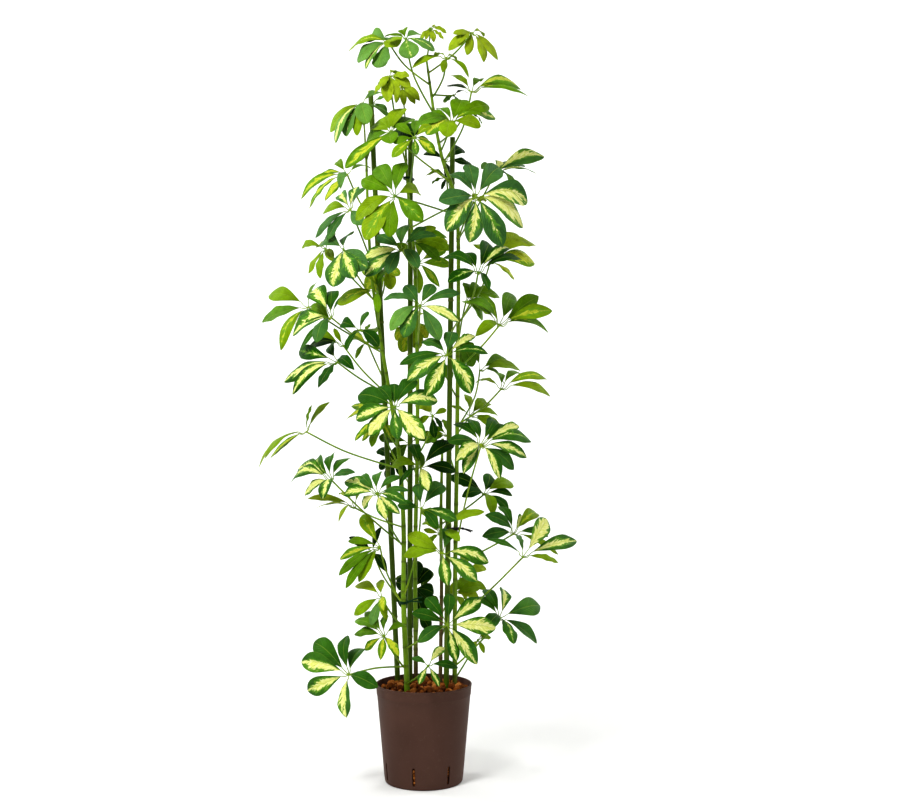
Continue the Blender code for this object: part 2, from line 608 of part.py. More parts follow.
def make_tie(name, paths, into, looks):
    """A wire tie: a loop round the members, and two twisted ends."""
    height, members, prong_cm, bearing = TIES[name]
    rounds = [at_height(paths[member], height * CM) for member in members]
    reach = max(radius for _, radius in rounds) + GAP + TIE_SLACK + TIE_RADIUS
    first = rounds[0][0]
    last = rounds[-1][0]
    along = (last - first) * Vector((1, 1, 0))
    half = along.length / 2
    axis = along.normalized() if half else Vector((1, 0, 0))
    side = UP.cross(axis)
    middle = (first + last) / 2
    loop = []
    spread = reach / math.cos(math.pi / TIE_POINTS)
    for step in range(TIE_POINTS):
        angle = 2 * math.pi * (step + 0.5) / TIE_POINTS
        shift = half if math.cos(angle) > 0 else -half
        loop.append(middle + axis * (shift + spread * math.cos(angle)) + side * spread * math.sin(angle))
    ring = tube(name, loop, [TIE_RADIUS] * TIE_POINTS, into, looks, 0, True)
    turn = math.radians(bearing)
    away = Vector((math.cos(turn), PRONG_FORWARD, math.sin(turn)))
    start = max(loop, key=lambda point: (point - middle).dot(away))
    end = start + away * prong_cm * CM
    points = [start, (start + end) / 2 + UP * PRONG_BEND, end]
    prong = tube(name + "_prong", points, [TIE_RADIUS] * len(points), into, None, 0)
    unite(ring, [prong])
    return ring


def leaf_slopes(leaf):
    """How steeply a leaf's plane runs to the back, across and up. Leaves face outwards as well as forwards."""
    return OUTWARD_TURN * leaf[0][0], leaf[1]


def leaf_normal(leaf):
    """The direction that a leaf's upper side faces."""
    across, up = leaf_slopes(leaf)
    normal = Vector((across, -1, up)).normalized()
    return -normal if normal.z < FACING_DOWN else normal


def leaflet_reach(leaf):
    """For each leaflet, the vector from the hub to its tip, in metres."""
    _, _, sag, _, tips = leaf
    across, up = leaf_slopes(leaf)
    steep = math.sqrt(1 + across * across + up * up)
    if leaf_normal(leaf).y > 0:
        steep = -steep
    longest = 0
    reaches = []
    for right, rise, *given in tips:
        back = given[0] if given else across * right + up * rise + sag * steep
        reaches.append(Vector((right, back, rise)) * CM)
        longest = max(longest, reaches[-1].length)
    longest = min(longest, LONGEST)
    for reach, tip in zip(reaches, tips):
        flat = Vector((reach.x, 0, reach.z)).length
        if len(tip) == 3:
            continue
        shortest = SHORTEST_SHARE * longest
        wanted = min(max(reach.length, shortest), longest)
        if flat < wanted:
            depth = math.sqrt(wanted * wanted - flat * flat)
            reach.y = math.copysign(depth, reach.y)
    return reaches


def root_bearings(reaches, normal):
    """The leaflets in order round the hub, as (bearing, reach), with at least a root's width between them."""
    first = normal.orthogonal().normalized()
    second = normal.cross(first)
    angles = [math.atan2(reach.dot(second), reach.dot(first)) for reach in reaches]
    ordered = sorted((angle, index) for index, angle in enumerate(angles))
    bearings = [bearing for bearing, _ in ordered]
    count = len(bearings)
    for _ in range(ROOT_PASSES):
        for here in range(count):
            after = (here + 1) % count
            space = bearings[after] - bearings[here] + (2 * math.pi if after == 0 else 0)
            push = max(MIN_ROOT_SPACING - space, 0) / 2
            bearings[here] -= push
            bearings[after] += push
    return first, second, [(bearing, reaches[index]) for bearing, (_, index) in zip(bearings, ordered)]


def leaf_sheet(bm, leaf):
    """Adds a leaf's hub and leaflets to the bmesh as one open sheet."""
    hub = Vector(leaf[0]) * CM
    normal = leaf_normal(leaf)
    width_share = leaf[3]
    first, second, roots = root_bearings(leaflet_reach(leaf), normal)
    count = len(roots)

    def hub_corner(angle):
        return bm.verts.new(hub + (first * math.cos(angle) + second * math.sin(angle)) * HUB_RADIUS)

    ring = []
    starts = [None] * count
    ends = [None] * count
    for here in range(count):
        bearing = roots[here][0]
        after = (here + 1) % count
        space = roots[after][0] - bearing + (2 * math.pi if after == 0 else 0)
        if starts[here] is None:
            before = roots[here - 1][0] - (2 * math.pi if here == 0 else 0)
            shared_later = here == 0 and bearing - before <= SHARED_ROOT_GAP
            half = (bearing - before) / 2 if shared_later else LONE_ROOT_HALF
            starts[here] = hub_corner(bearing - half)
            ring.append(starts[here])
            if shared_later:
                ends[-1] = starts[here]
        if ends[here] is None:
            if space <= SHARED_ROOT_GAP:
                ends[here] = hub_corner(bearing + space / 2)
                starts[after] = ends[here]
            else:
                ends[here] = hub_corner(bearing + LONE_ROOT_HALF)
            ring.append(ends[here])
    bm.faces.new(ring)
    for (bearing, reach), start, end in zip(roots, starts, ends):
        length = reach.length
        forward = reach / length
        side = normal.cross(forward).normalized()
        lift = forward.cross(side)
        width = length * (1 - BLADE_STATIONS[0][0]) * width_share
        left, right = end, start
        for share, wide in BLADE_STATIONS:
            arch = BLADE_ARCH * length * (1 - (2 * share - 1) ** 2)
            centre = hub + reach * share + lift * arch
            half = max(width * wide, NARROWEST_BLADE) / 2
            next_left = bm.verts.new(centre + side * half)
            next_right = bm.verts.new(centre - side * half)
            bm.faces.new((right, next_right, next_left, left))
            left, right = next_left, next_right


def petiole_points(centre, radius, away, hub, normal):
    """The petiole's route, from just off the stem's surface to just through the hub."""
    span = (hub - centre).length
    root = centre + away * (radius + PETIOLE_GAP)
    collar = root + away * PETIOLE_COLLAR
    rising = collar + (away * PETIOLE_AWAY + UP * PETIOLE_RISE) * PETIOLE_REACH * span
    below_hub = hub - normal * PETIOLE_APPROACH * span
    middle = (collar + 3 * rising + 3 * below_hub + hub) / 8
    return [root, collar, middle, hub + normal * HUB_OVERSHOOT]


def leaf_blades(name, leaf, into):
    """A leaf's hub and leaflets as one closed thin body."""
    bm = bmesh.new()
    leaf_sheet(bm, leaf)
    bmesh.ops.triangulate(bm, faces=bm.faces)
    blades = add_object(name, mesh_from(bm, name), into)
    solidify = blades.modifiers.new("Thickness", "SOLIDIFY")
    solidify.thickness = BLADE_THICKNESS
    solidify.offset = 0
    apply_modifiers(blades)
    return blades


def make_stem(name, path, into, looks):
    """A stem, joined to the youngest leaf where one stands at its tip."""
    stem = make_member(name, path, into, looks)
    if name in CROWNS:
        leaf = CROWNS[name]
        tip = path[-1][0]
        hub = Vector(leaf[0]) * CM
        bend = (tip + hub) / 2 + Vector((CROWN_STALK_BEND, 0, 0))
        points = [path[-2][0].lerp(tip, 0.8), bend, hub + UP * HUB_OVERSHOOT]
        stalk = tube(name + "_stalk", points, [PETIOLE_RADIUS] * len(points), into, None, 0)
        unite(stem, [leaf_blades(name + "_crown", leaf, into), stalk])
        stem.data.materials.clear()
        stem.data.materials.append(looks)
    return stem


def make_spray(spray, paths, into, looks):
    """A leaf, or a few leaves that share a joint, with their petioles."""
    name, stem, height, leaves = spray
    centre, radius = at_height(paths[stem], height * CM)
    hubs = [Vector(leaf[0]) * CM for leaf in leaves]
    away = (sum(hubs, Vector()) / len(hubs) - centre) * Vector((1, 1, 0))
    away.normalize()
    pieces = []
    for number, leaf in enumerate(leaves):
        pieces.append(leaf_blades(f"{name}_blades_{number}", leaf, into))
        points = petiole_points(centre, radius, away, hubs[number], leaf_normal(leaf))
        pieces.append(tube(f"{name}_petiole_{number}", points, [PETIOLE_RADIUS] * len(points), into, None, 0))
    node = pieces[0]
    node.name = name
    unite(node, pieces[1:])
    node.data.materials.clear()
    node.data.materials.append(looks)
    return node


def build():
    for obj in list(bpy.data.objects):
        bpy.data.objects.remove(obj, do_unlink=True)
    plant = collection("potted umbrella plant", bpy.context.scene.collection)
    cutters = collection("cutters", bpy.context.scene.collection)
    pot_looks = material("pot plastic", (0.065, 0.034, 0.026), 0.62)
    clay_looks = material("clay granules", (0.26, 0.075, 0.02), 0.9)
    cane_looks = material("cane", (0.045, 0.085, 0.01), 0.55)
    stem_looks = material("stem", (0.13, 0.26, 0.015), 0.5)
    leaf_looks = material("leaf", (0.06, 0.24, 0.03), 0.4)
    tie_looks = material("tie", (0.01, 0.02, 0.01), 0.5)
    paths = member_paths()
    make_pot(plant, cutters, pot_looks)
    holes = [foot_cutter(name, path, cutters) for name, path in paths.items()]
    make_granules(plant, cutters, clay_looks, holes)
    for name in CANES:
        make_member(name, paths[name], plant, cane_looks)
    for name in STEMS:
        make_stem(name, paths[name], plant, stem_looks)
    for name in TIES:
        make_tie(name, paths, plant, tie_looks)
    for spray in SPRAYS:
        make_spray(spray, paths, plant, leaf_looks)


build()
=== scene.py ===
"""The looks of a variegated umbrella plant, tied to three canes, in a pot of clay granules.

Lengths are in metres unless a comment says otherwise. +Z is up and -Y is the front. The leaves, stems
and canes follow the same routes as the solids that they replace.
"""

import math
import random

import bmesh
import bpy
from mathutils import Matrix, Vector


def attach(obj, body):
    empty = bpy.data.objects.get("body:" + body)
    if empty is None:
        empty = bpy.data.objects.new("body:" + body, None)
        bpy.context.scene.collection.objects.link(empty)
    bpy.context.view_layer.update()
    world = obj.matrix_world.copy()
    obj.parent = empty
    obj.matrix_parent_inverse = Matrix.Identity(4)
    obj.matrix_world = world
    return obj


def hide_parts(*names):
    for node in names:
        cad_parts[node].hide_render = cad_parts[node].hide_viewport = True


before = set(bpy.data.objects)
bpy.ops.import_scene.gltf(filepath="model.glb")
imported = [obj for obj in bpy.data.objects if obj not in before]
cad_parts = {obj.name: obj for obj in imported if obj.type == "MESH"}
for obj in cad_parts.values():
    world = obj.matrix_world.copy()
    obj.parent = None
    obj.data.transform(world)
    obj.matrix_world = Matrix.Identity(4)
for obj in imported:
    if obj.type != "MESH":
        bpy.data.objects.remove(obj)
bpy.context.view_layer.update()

CM = 0.01
MM = 0.001
UP = Vector((0, 0, 1))

# Camera, floor and light
CAMERA_PLACE = (0.051, -2.57, 0.711)
SENSOR_WIDTH_MM = 36
LENS_MM = 54.72
BACKDROP_RADIUS = 1.5
BACKDROP_HALF_WIDTH = 6.0
BACKDROP_FRONT = -6.0
BACKDROP_BACK = 3.2
BACKDROP_HEIGHT = 5.0
WORLD_STRENGTH = 0.3
# The area lights, as (name, place, target, size, power in watts).
LIGHTS = (
    ("key", (-1.3, -2.0, 2.9), (0, 0, 0.8), 0.9, 80),
    ("fill", (2.2, -2.0, 1.5), (0, 0, 0.7), 1.6, 6),
    ("back left", (-2.6, 1.2, 2.6), (-0.8, 3.2, 0.9), 1.6, 62),
    ("back right", (2.6, 1.2, 2.6), (0.8, 3.2, 0.9), 1.6, 62),
)

# Pot
POT_HEIGHT = 183 * MM
RIM_RADIUS = 90 * MM
BASE_RADIUS = 73 * MM
WALL = 2.6 * MM
COLLAR_DEPTH = 19 * MM
COLLAR_STEP = 0.8 * MM
FOOT_ROUND = 4 * MM
POT_STEPS = 168
SLOT_COUNT = 7
SLOT_WIDTH = 5.5 * MM
SLOT_HEIGHT = 34 * MM
SLOT_BOTTOM = 8 * MM
FIRST_SLOT_DEG = -103

# Clay granules
FILL_TOP = 172 * MM
FILL_HEAP = 8 * MM
PEBBLE_RADII = (3.8 * MM, 8.0 * MM)
PEBBLE_SPACING = 0.9
PEBBLE_FACETS = 9
FACET_DEPTHS = (0.68, 0.95)
PEBBLE_TRIES = 2600
# The layers of granules at the top, as (lift, share of painted shade). The lower layer is painted darker, as
# the shade between the granules above it.
PEBBLE_LAYERS = ((0.0, 0.0), (-6.5 * MM, 0.55))
PEBBLE_SEED = 11
CORE_STEPS = 48
CORE_DROP = 11 * MM
CORE_INSET = 9 * MM

CANE_RADIUS = 5.4 * MM
CANE_RING = 0.7 * MM
CANE_STEP = 2 * MM
STEM_STEP = 3 * MM
SCAR_SPACING = (2.6, 4.6)
SCAR_CLEARANCE = 1.5 * CM
TIE_RADIUS = 1.25 * MM
TIE_SLACK = 0.3 * MM
# The two turns of a tie, as (lift, tilt).
TIE_TURNS = ((-1.1 * MM, 0.05), (1.1 * MM, -0.04))
TIE_STEPS = 48
PRONG_FORWARD = -0.35
PRONG_STEPS = 40
PRONG_BEND = 4 * MM
TWISTED_SHARE = 0.4
TWIST_LENGTH = 2.2 * MM
GAP = 0.4 * MM

# Leaves
HUB_RADIUS = 3.2 * MM
PETIOLE_COLLAR = 2.5 * MM
PETIOLE_GAP = 0.35 * MM
PETIOLE_REACH = 0.4
PETIOLE_AWAY = 0.6
PETIOLE_RISE = 0.35
PETIOLE_APPROACH = 0.25
HUB_OVERSHOOT = 1.2 * MM
PETIOLE_RADIUS = 1.65 * MM
PETIOLE_SWELL = 1.2 * MM
CROWN_STALK_BEND = 2 * MM
CROWN_NUMBER = 900
MIN_ROOT_SPACING = 0.62
ROOT_PASSES = 60
SHORTEST_SHARE = 0.72
LONGEST = 10.8 * CM
OUTWARD_TURN = 0.045
FACING_DOWN = -0.3
BLADE_ARCH = (0.05, 0.15)
BLADE_BOW = (0.02, 0.11)
BLADE_FOLD = (0.08, 0.42)
BLADE_ROLL = (0.05, 0.38)
BLADE_WAVES = (1.3, 3.2)
BLADE_RIPPLE_MM = (0.4, 1.8)
BLADE_BEND = 0.035
BLADE_DROOP = (-0.01, 0.045)
BLADE_TWIST = 0.16
BLADE_WIDTHS = (1.0, 1.18)
TONE_SCATTER = 0.05
# Leaves that stand close to each other, and are arched and waved less so that they stay clear.
CALM_LEAVES = ("leaf_07", "leaf_10")
CALM_ARCH = 0.07
CALM_SHARE = 0.3
BLADE_TILT = 0.28
BLADE_THICKNESS = 0.5 * MM
NARROW_SHARE = 0.58
# Slender leaflets have longer stalks and more pointed ends than broad ones, as (slender, broad).
SLENDER_TO_BROAD = (0.3, 0.5)
BLADE_START = (0.16, 0.1)
OUTLINE_LEAN = (1.25, 1.7)
OUTLINE_FULLNESS = (0.8, 0.58)
BLADE_ROWS = 18
BLADE_COLUMNS = 10

# Canes: foot and top as (right, back, up) in centimetres, then the heights of the node rings.
CANES = {
    "cane_left": ((-4.6, 5.0, 7.0), (-10.1, 2.0, 129.7), (30, 58, 86, 108, 125)),
    "cane_back": ((-2.8, 5.8, 7.0), (-2.6, 3.4, 123.8), (26, 52, 80, 104)),
    "cane_right": ((4.1, 1.0, 7.0), (5.4, 0.4, 120.6), (34, 62, 90, 112)),
}

# Stems: points as (right, back, up, radius in millimetres), from the foot up.
STEMS = {
    "stem_tall": (
        (5.8, 3.0, 6.5, 4.6), (5.8, 2.9, 18, 4.6), (5.9, 2.2, 40, 4.2), (6.2, 1.6, 60, 4.0),
        (6.4, 1.2, 80, 3.8), (6.5, 0.8, 96, 3.6), (6.3, -0.2, 105, 3.5), (5.2, -0.95, 111.5, 3.4),
        (3.7, -1.2, 115.5, 3.2), (2.4, -1.3, 121.5, 3.0), (1.4, -1.2, 128.5, 2.6), (0.5, -1.0, 135, 2.0),
    ),
    "stem_left": (
        (-2.9, -3.0, 6.5, 5.4), (-3.1, -3.0, 20, 5.3), (-3.7, -2.0, 33, 5.0), (-3.8, 0.6, 47, 4.4),
        (-4.6, 1.6, 60, 4.0), (-6.4, 2.0, 72, 3.6), (-8.2, 1.6, 83, 3.4), (-9.9, 2.2, 95, 3.0),
        (-10.6, 2.0, 107, 2.7), (-10.9, 1.2, 119, 2.2),
    ),
    "stem_back": (
        (-1.5, 3.6, 6.5, 4.4), (-1.6, 3.6, 22, 4.3), (-1.7, 3.4, 42, 4.0), (-1.3, 3.2, 62, 3.8),
        (-1.3, 3.0, 82, 3.5), (-1.8, 2.3, 98, 3.2), (-2.8, 2.0, 108, 2.8), (-3.3, 1.9, 115, 2.4),
        (-3.5, 1.2, 121, 1.9),
    ),
    "stem_low": (
        (3.0, 3.2, 6.5, 3.8), (3.1, 3.1, 20, 3.7), (3.3, 2.6, 36, 3.4), (3.2, 2.6, 50, 3.0),
        (3.5, 2.8, 64, 2.4),
    ),
}

# The heights in metres between which each stem turns from brown wood to green.
BROWN_TO_GREEN = {
    "stem_back": (0.18, 0.42),
    "stem_low": (0.30, 0.62),
    "stem_left": (0.08, 0.14),
    "stem_tall": (0.10, 0.34),
}
MOST_BROWN = 0.75

# Ties: (height, the members tied together, prong length in centimetres, prong bearing in degrees).
TIES = {
    "tie_low": (33.6, ("stem_left",), 3.0, 12),
    "tie_middle": (47.0, ("cane_right", "stem_tall"), 2.6, -14),
    "tie_top": (110.0, ("cane_right", "stem_tall"), 2.0, -20),
    "tie_back": (113.2, ("cane_back", "stem_back"), 1.6, 160),
}
GREEN_TIES = ("tie_low", "tie_back")

# Each spray is (node name, stem, height of its joint on the stem, then its leaves). A leaf is (hub, lean,
# sag, blade width as a share of blade length, tone, marks, tips). The hub is (right, back, up) in
# centimetres. A lean of 0 faces the front, and a greater one faces further up. The tips are (right, up)
# from the hub in centimetres. How far each lies to the back follows from the lean and the sag, or is
# given third. The marks have a letter for each tip, which MARKS explains.
SPRAYS = (
    ("leaf_01", "stem_tall", 125.5,
     ((-3.3, -5, 137.7), 1.0, 1.2, 0.8, "sage", "sS.PP",
      ((1.2, -4.2), (5.4, -2.4), (2.6, 1.3, 1.6), (-3.6, 1.5), (-0.5, 2.6, 3.6)))),
    ("leaf_02", "stem_tall", 130.5,
     ((-6.8, 4, 139.4), 0.8, 1.2, 0.62, "sage", "w.V.o..",
      ((-7.7, -0.6), (-6.0, -3.6), (-4.4, -5.2), (-1.9, -5.4), (1.8, -2.0), (0.5, 1.8), (-4.0, 1.6)))),
    ("leaf_03", "stem_tall", 132.6,
     ((9.0, -3, 139.3), 0.8, 1.2, 0.36, "young", ".......",
      ((-3.5, -1.1), (-4.3, -3.9), (-2.6, -2.8), (-0.9, -4.6), (2.2, -5.9), (4.8, -5.1), (2.2, 0.6)))),
    ("leaf_04", "stem_tall", 128.2,
     ((4.2, -5, 134.2), 0.9, 1.0, 0.3, "light", ".....",
      ((2.0, 0.6), (4.2, -3.9), (-0.6, -3.4), (-6.2, -2.1), (-2.2, 1.4))),
     ((5.6, 2, 128.9), 0.9, 0.6, 0.42, "sage", "s.d",
      ((-1.9, -1.6), (1.2, -2.6), (2.8, 0.8)))),
    ("leaf_05", "stem_back", 116.5,
     ((-6.3, -4, 131.0), 0.8, 1.0, 0.4, "young", "........",
      ((1.4, 1.2), (-2.7, -3.3), (-1.2, -2.6), (-0.1, -5.4), (1.6, -4.6), (3.8, -0.5), (4.0, -2.4),
       (-2.2, -0.6)))),
    ("leaf_06", "stem_left", 118.5,
     ((-11.6, -3, 126.2), 0.7, 1.2, 0.54, "sage", "oVsO.nG",
      ((-6.0, -4.8), (-4.8, -7.3), (-2.8, -6.2), (-0.6, -6.3), (1.4, -4.5), (5.2, 2.2, 6.5),
       (5.6, -1.3, 6.5)))),
    ("leaf_07", "stem_tall", 112.4,
     ((-5.8, -9, 119.8), 0.5, 0.8, 0.46, "mid", "op.p.VY.do",
      ((-1.1, 4.2), (2.0, 5.3), (3.6, 3.6), (-3.5, 2.4), (-4.8, -0.9), (-8.2, -6.6), (-5.6, -5.4),
       (0.4, -3.4), (5.0, -1.4), (5.4, 1.4)))),
    ("leaf_08", "stem_tall", 118.0,
     ((5.3, -6, 122.2), 0.6, 0.8, 0.5, "mid", ".nso.n.vp",
      ((1.8, 5.2), (7.0, 4.0), (6.2, 1.6), (5.2, -1.0, -1.0), (-5.1, 1.3), (-2.7, 3.6), (-6.2, -0.9),
       (-4.6, -3.0), (-1.0, -3.6)))),
    ("leaf_09", "stem_tall", 116.2,
     ((8.9, -3, 128.4), 1.2, 1.0, 0.3, "mid", "vsydp.",
      ((9.4, 1.6), (10.6, -0.3), (7.6, 3.2), (-4.7, 2.3), (-4.2, 4.2), (1.9, 3.6)))),
    ("leaf_10", "stem_back", 110.6,
     ((-1.3, -15.5, 117.5), 0.5, 0.8, 0.4, "mid", "..qv.wsv",
      ((-3.4, 2.9), (0.3, 3.6), (2.9, 2.6), (2.6, -0.2), (-3.8, -0.8), (-4.0, -3.6), (0.4, -3.4),
       (3.6, -3.0)))),
    ("leaf_11", "stem_back", 104.0,
     ((9.5, -14, 107.3), 0.35, 0.8, 0.43, "blue", "...lysvv.",
      ((-4.3, 4.8), (-1.2, 6.5), (4.4, 6.0), (9.4, -0.2), (8.8, -4.8), (4.8, -8.7), (-1.1, -8.3),
       (-5.1, -6.4), (-6.4, -1.1)))),
    ("leaf_12", "stem_tall", 106.0,
     ((-4.9, -13, 107.6), 0.4, 0.8, 0.43, "mid", "...ppw.s",
      ((-3.2, 6.2), (-6.2, 3.7), (1.4, 6.6), (4.3, 1.4), (-7.1, -4.1), (-5.2, -8.0), (-0.9, -7.5),
       (5.0, -4.7)))),
    ("leaf_13", "stem_tall", 101.5,
     ((13.6, 10, 115.2), 1.5, 0.8, 0.36, "blue", "rsy.V.",
      ((9.8, 4.0), (6.3, 3.6), (2.3, 3.0), (-2.4, 2.3), (8.6, 1.4), (4.0, -2.0))),
     ((4.0, 14, 118.4), 0.8, 0.8, 0.4, "shaded", "....",
      ((5.5, -0.4), (3.6, 3.4), (-4.4, 2.0), (0.6, -4.4)))),
    ("leaf_14", "stem_back", 96.0,
     ((-3.9, -7, 98.7), 0.6, 0.8, 0.42, "blue", "..nnyv..",
      ((-4.6, 3.1), (0.5, 5.1), (4.4, 4.6), (6.4, 2.8), (-7.1, -1.5), (-6.6, -4.9), (-2.4, -4.6),
       (3.2, -3.6)))),
    ("leaf_15", "stem_back", 91.0,
     ((-1.5, 15, 98.4), -0.6, 0.8, 0.34, "mid", "vpqvp.",
      ((5.8, 2.7), (1.5, 5.4), (6.8, -0.6), (4.4, -4.4), (0.2, -5.8), (-4.2, 3.8)))),
    ("leaf_16", "stem_tall", 86.5,
     ((10.1, -6, 94.6), 0.8, 0.8, 0.38, "dark", "...VnsN",
      ((-6.4, 3.1), (-3.1, 4.2), (2.2, 6.1), (5.9, 5.3), (8.3, 3.3), (-5.5, -2.0), (1.8, -3.6))),
     ((12.8, 12, 98.3), 0.9, 0.8, 0.4, "light", "pyyp.",
      ((9.2, 3.8), (9.2, 0.6), (4.8, -3.3, -0.6), (5.6, 6.4), (-3.0, 4.4)))),
    ("leaf_17", "stem_tall", 77.5,
     ((14.0, -5, 85.0), 0.8, 0.8, 0.31, "mid", "p..wss..",
      ((-4.4, -2.2), (3.0, 6.3), (7.6, 5.8), (10.0, 3.0), (9.6, -0.9), (-3.6, 5.9, -1.0),
       (-5.6, 4.5, -2.5), (-7.0, 4.4, 1.0)))),
    ("leaf_18", "stem_back", 82.0,
     ((-0.5, -10, 88.3), 0.5, 0.8, 0.45, "blue", "sg.n..nY",
      ((-2.9, -5.8), (-5.4, -4.4), (3.6, -6.3), (-6.7, 1.2), (-2.9, 4.0), (2.4, 4.2), (7.2, 2.5),
       (7.0, -2.9)))),
    ("leaf_19", "stem_left", 84.5,
     ((-8.4, -6, 91.2), 0.8, 0.8, 0.42, "mid", "qw.n",
      ((-7.6, -2.0), (-1.8, 5.0), (1.4, 4.4), (0.4, -4.2))),
     ((-11.4, -9, 83.9), 0.6, 0.8, 0.44, "dark", "....",
      ((-2.4, -3.6), (-3.6, 1.6), (3.6, -3.0), (1.0, 3.6)))),
    ("leaf_20", "stem_left", 106.5,
     ((-14.9, 7, 114.7), 0.8, 0.8, 0.25, "mid", "vvvyg..",
      ((-7.2, -1.6), (-9.3, -4.2), (-7.4, -6.4), (-4.0, -5.4), (-0.8, -3.6), (4.2, 2.5), (-2.6, 3.6)))),
    ("leaf_21", "stem_left", 98.5,
     ((-13.4, -5, 106.3), 0.7, 0.8, 0.4, "blue", "vvno.n.",
      ((-2.2, 3.6), (1.0, 4.8), (4.2, 4.6), (-5.6, 0.2), (-4.4, -5.6), (-6.8, -4.8), (2.6, -3.4)))),
    ("leaf_22", "stem_left", 90.5,
     ((-18.6, 2, 99.9), 0.7, 0.6, 0.36, "light", "n..n..",
      ((-5.2, 0.7), (-3.4, -4.6), (-0.9, -5.8), (1.6, 3.2), (1.8, -2.8), (-1.6, 1.2))),
     ((-14.6, -6, 98.9), 0.5, 0.8, 0.56, "blue", "vvs..",
      ((-1.8, -7.0), (2.4, -5.6), (4.6, -3.8), (-4.2, 2.2), (1.2, 3.4)))),
    ("leaf_23", "stem_left", 80.5,
     ((-22.6, 9, 89.3), 0.9, 0.8, 0.34, "mid", "p.wn.",
      ((-8.7, 2.8), (-9.6, -2.6), (-5.3, -8.4), (0.9, 5.4), (4.4, -2.6))),
     ((-17.0, -4, 86.5), 0.8, 0.8, 0.38, "green", ".nvvn.v",
      ((-0.6, 5.6), (3.4, 4.8), (-7.4, -0.7), (-7.6, -3.2), (-6.2, -6.0), (-2.2, -4.8), (-4.2, 5.6)))),
    ("leaf_24", "stem_left", 72.5,
     ((-15.7, -6, 78.2), 0.9, 0.8, 0.3, "dark", "vv.s..",
      ((-10.6, -3.4), (-8.6, -5.8), (-3.0, -4.6), (-8.0, 2.4), (-1.6, 3.4), (3.6, -1.6))),
     ((-15.2, 2, 81.5), 1.0, 0.8, 0.32, "mid", "pOdn",
      ((-1.9, 3.4, 0.5), (-7.2, 2.6), (-7.6, -0.6), (3.6, 3.2, -0.5)))),
    ("leaf_25", "stem_tall", 86.0,
     ((4.4, -13, 79.3), 0.4, 0.8, 0.42, "green", "nvvv..YS",
      ((-8.4, -1.6), (-7.0, -4.6), (-3.6, -7.3), (4.3, -6.8), (-4.5, 2.7), (1.0, 4.4), (5.2, 3.6),
       (7.4, 0.4)))),
    ("leaf_26", "stem_tall", 67.0,
     ((14.3, -5, 73.3), 1.2, 0.8, 0.22, "mid", "p.wo.",
      ((-4.6, 1.5), (0.4, 3.0), (8.9, 1.9), (9.6, -1.1), (4.0, 3.0))),
     ((10.8, 12, 77.1), 1.0, 0.8, 0.34, "mid", ".p..",
      ((5.5, 2.6), (8.4, 0.0), (5.0, -2.4), (-1.6, 4.3)))),
    ("leaf_27", "stem_low", 62.0,
     ((8.9, 14, 68.2), 1.0, 0.8, 0.3, "light", ".......",
      ((4.4, 2.4), (5.6, 0.0), (5.6, -3.2), (-0.8, 4.4), (-4.6, 1.6), (3.0, 3.4), (6.0, -1.6)))),
    ("leaf_28", "stem_tall", 44.5,
     ((10.5, -12, 63.2), 0.5, 0.8, 0.34, "green", ".....Ysv.lvy",
      ((-5.9, 0.8), (-5.0, 3.6), (-2.5, 4.8), (2.6, 4.6), (4.6, 3.2), (7.3, 3.4), (9.3, 0.6),
       (8.4, -2.3), (6.1, -4.4), (3.2, -5.8), (-3.2, -4.7), (-4.6, -2.6)))),
    ("leaf_29", "stem_left", 62.5,
     ((-4.9, -13, 70.0), 0.5, 0.8, 0.45, "green", "....vysyv",
      ((-6.8, 2.1), (-3.2, 3.6), (-0.2, 4.2), (3.7, 5.0), (7.6, 1.2), (5.3, -5.5), (0.6, -5.6),
       (-4.6, -5.0), (-7.1, -2.1))),
     ((-8.2, -6, 67.6), 1.0, 0.8, 0.26, "mid", "vyvv",
      ((-5.4, 2.6), (-6.4, -0.2), (-4.2, -3.6), (2.6, -3.6)))),
    ("leaf_30", "stem_left", 58.5,
     ((-22.3, 3, 65.3), 2, 0.4, 0.26, "mid", "pp.ovp",
      ((4.3, 5.6, 1.5), (3.4, 4.4, -2.0), (1.0, 5.2, -0.5), (-9.2, -6.6, -1.0), (-7.2, -5.2, 2.6),
       (-7.6, -4.6, -3.6)))),
    ("leaf_31", "stem_left", 44.5,
     ((-17.1, -3, 56.5), 0.9, 0.8, 0.35, "green", ".svvyv.n",
      ((-0.4, 4.4), (-3.2, 3.9), (-7.2, 1.7), (-8.3, -0.8), (-5.6, -3.0), (-0.9, -3.0), (3.0, 3.7),
       (4.6, 1.8))),
     ((-8.2, -10, 54.4), 0.6, 0.8, 0.36, "green", "...vvyysvn",
      ((0.0, 3.6), (-3.1, 3.1), (4.1, 3.1), (-6.3, 2.1), (-6.3, -0.4), (-2.9, -3.0), (1.8, -4.2),
       (5.4, -1.6), (4.2, -3.4), (5.8, 0.6)))),
    ("leaf_32", "stem_left", 47.5,
     ((-13.4, 7, 50.6), 1.6, 0.4, 0.16, "light", "pvp.p",
      ((-9.6, 1.4), (-8.0, -0.4), (-3.6, 2.2), (0.6, 2.4), (-2.7, -1.8)))),
    ("leaf_33", "stem_back", 51.5,
     ((-0.4, -8, 59.1), 0.7, 0.8, 0.42, "dark", "ddyon.",
      ((6.0, 4.2), (6.4, -0.6), (1.4, -4.0), (-5.4, 0.4), (-4.0, -3.4, 0.5), (-1.6, 4.2)))),
    ("leaf_34", "stem_back", 57.0,
     ((-3.2, 16, 62.7), -0.5, 0.8, 0.46, "shaded", ".....",
      ((-6.0, 1.4), (-3.6, -4.4), (2.6, -4.8), (5.6, 0.8), (0.6, 5.2)))),
    ("leaf_35", "stem_low", 48.0,
     ((11.6, 10, 53.0), 1.0, 0.8, 0.4, "dark", "on.o...d",
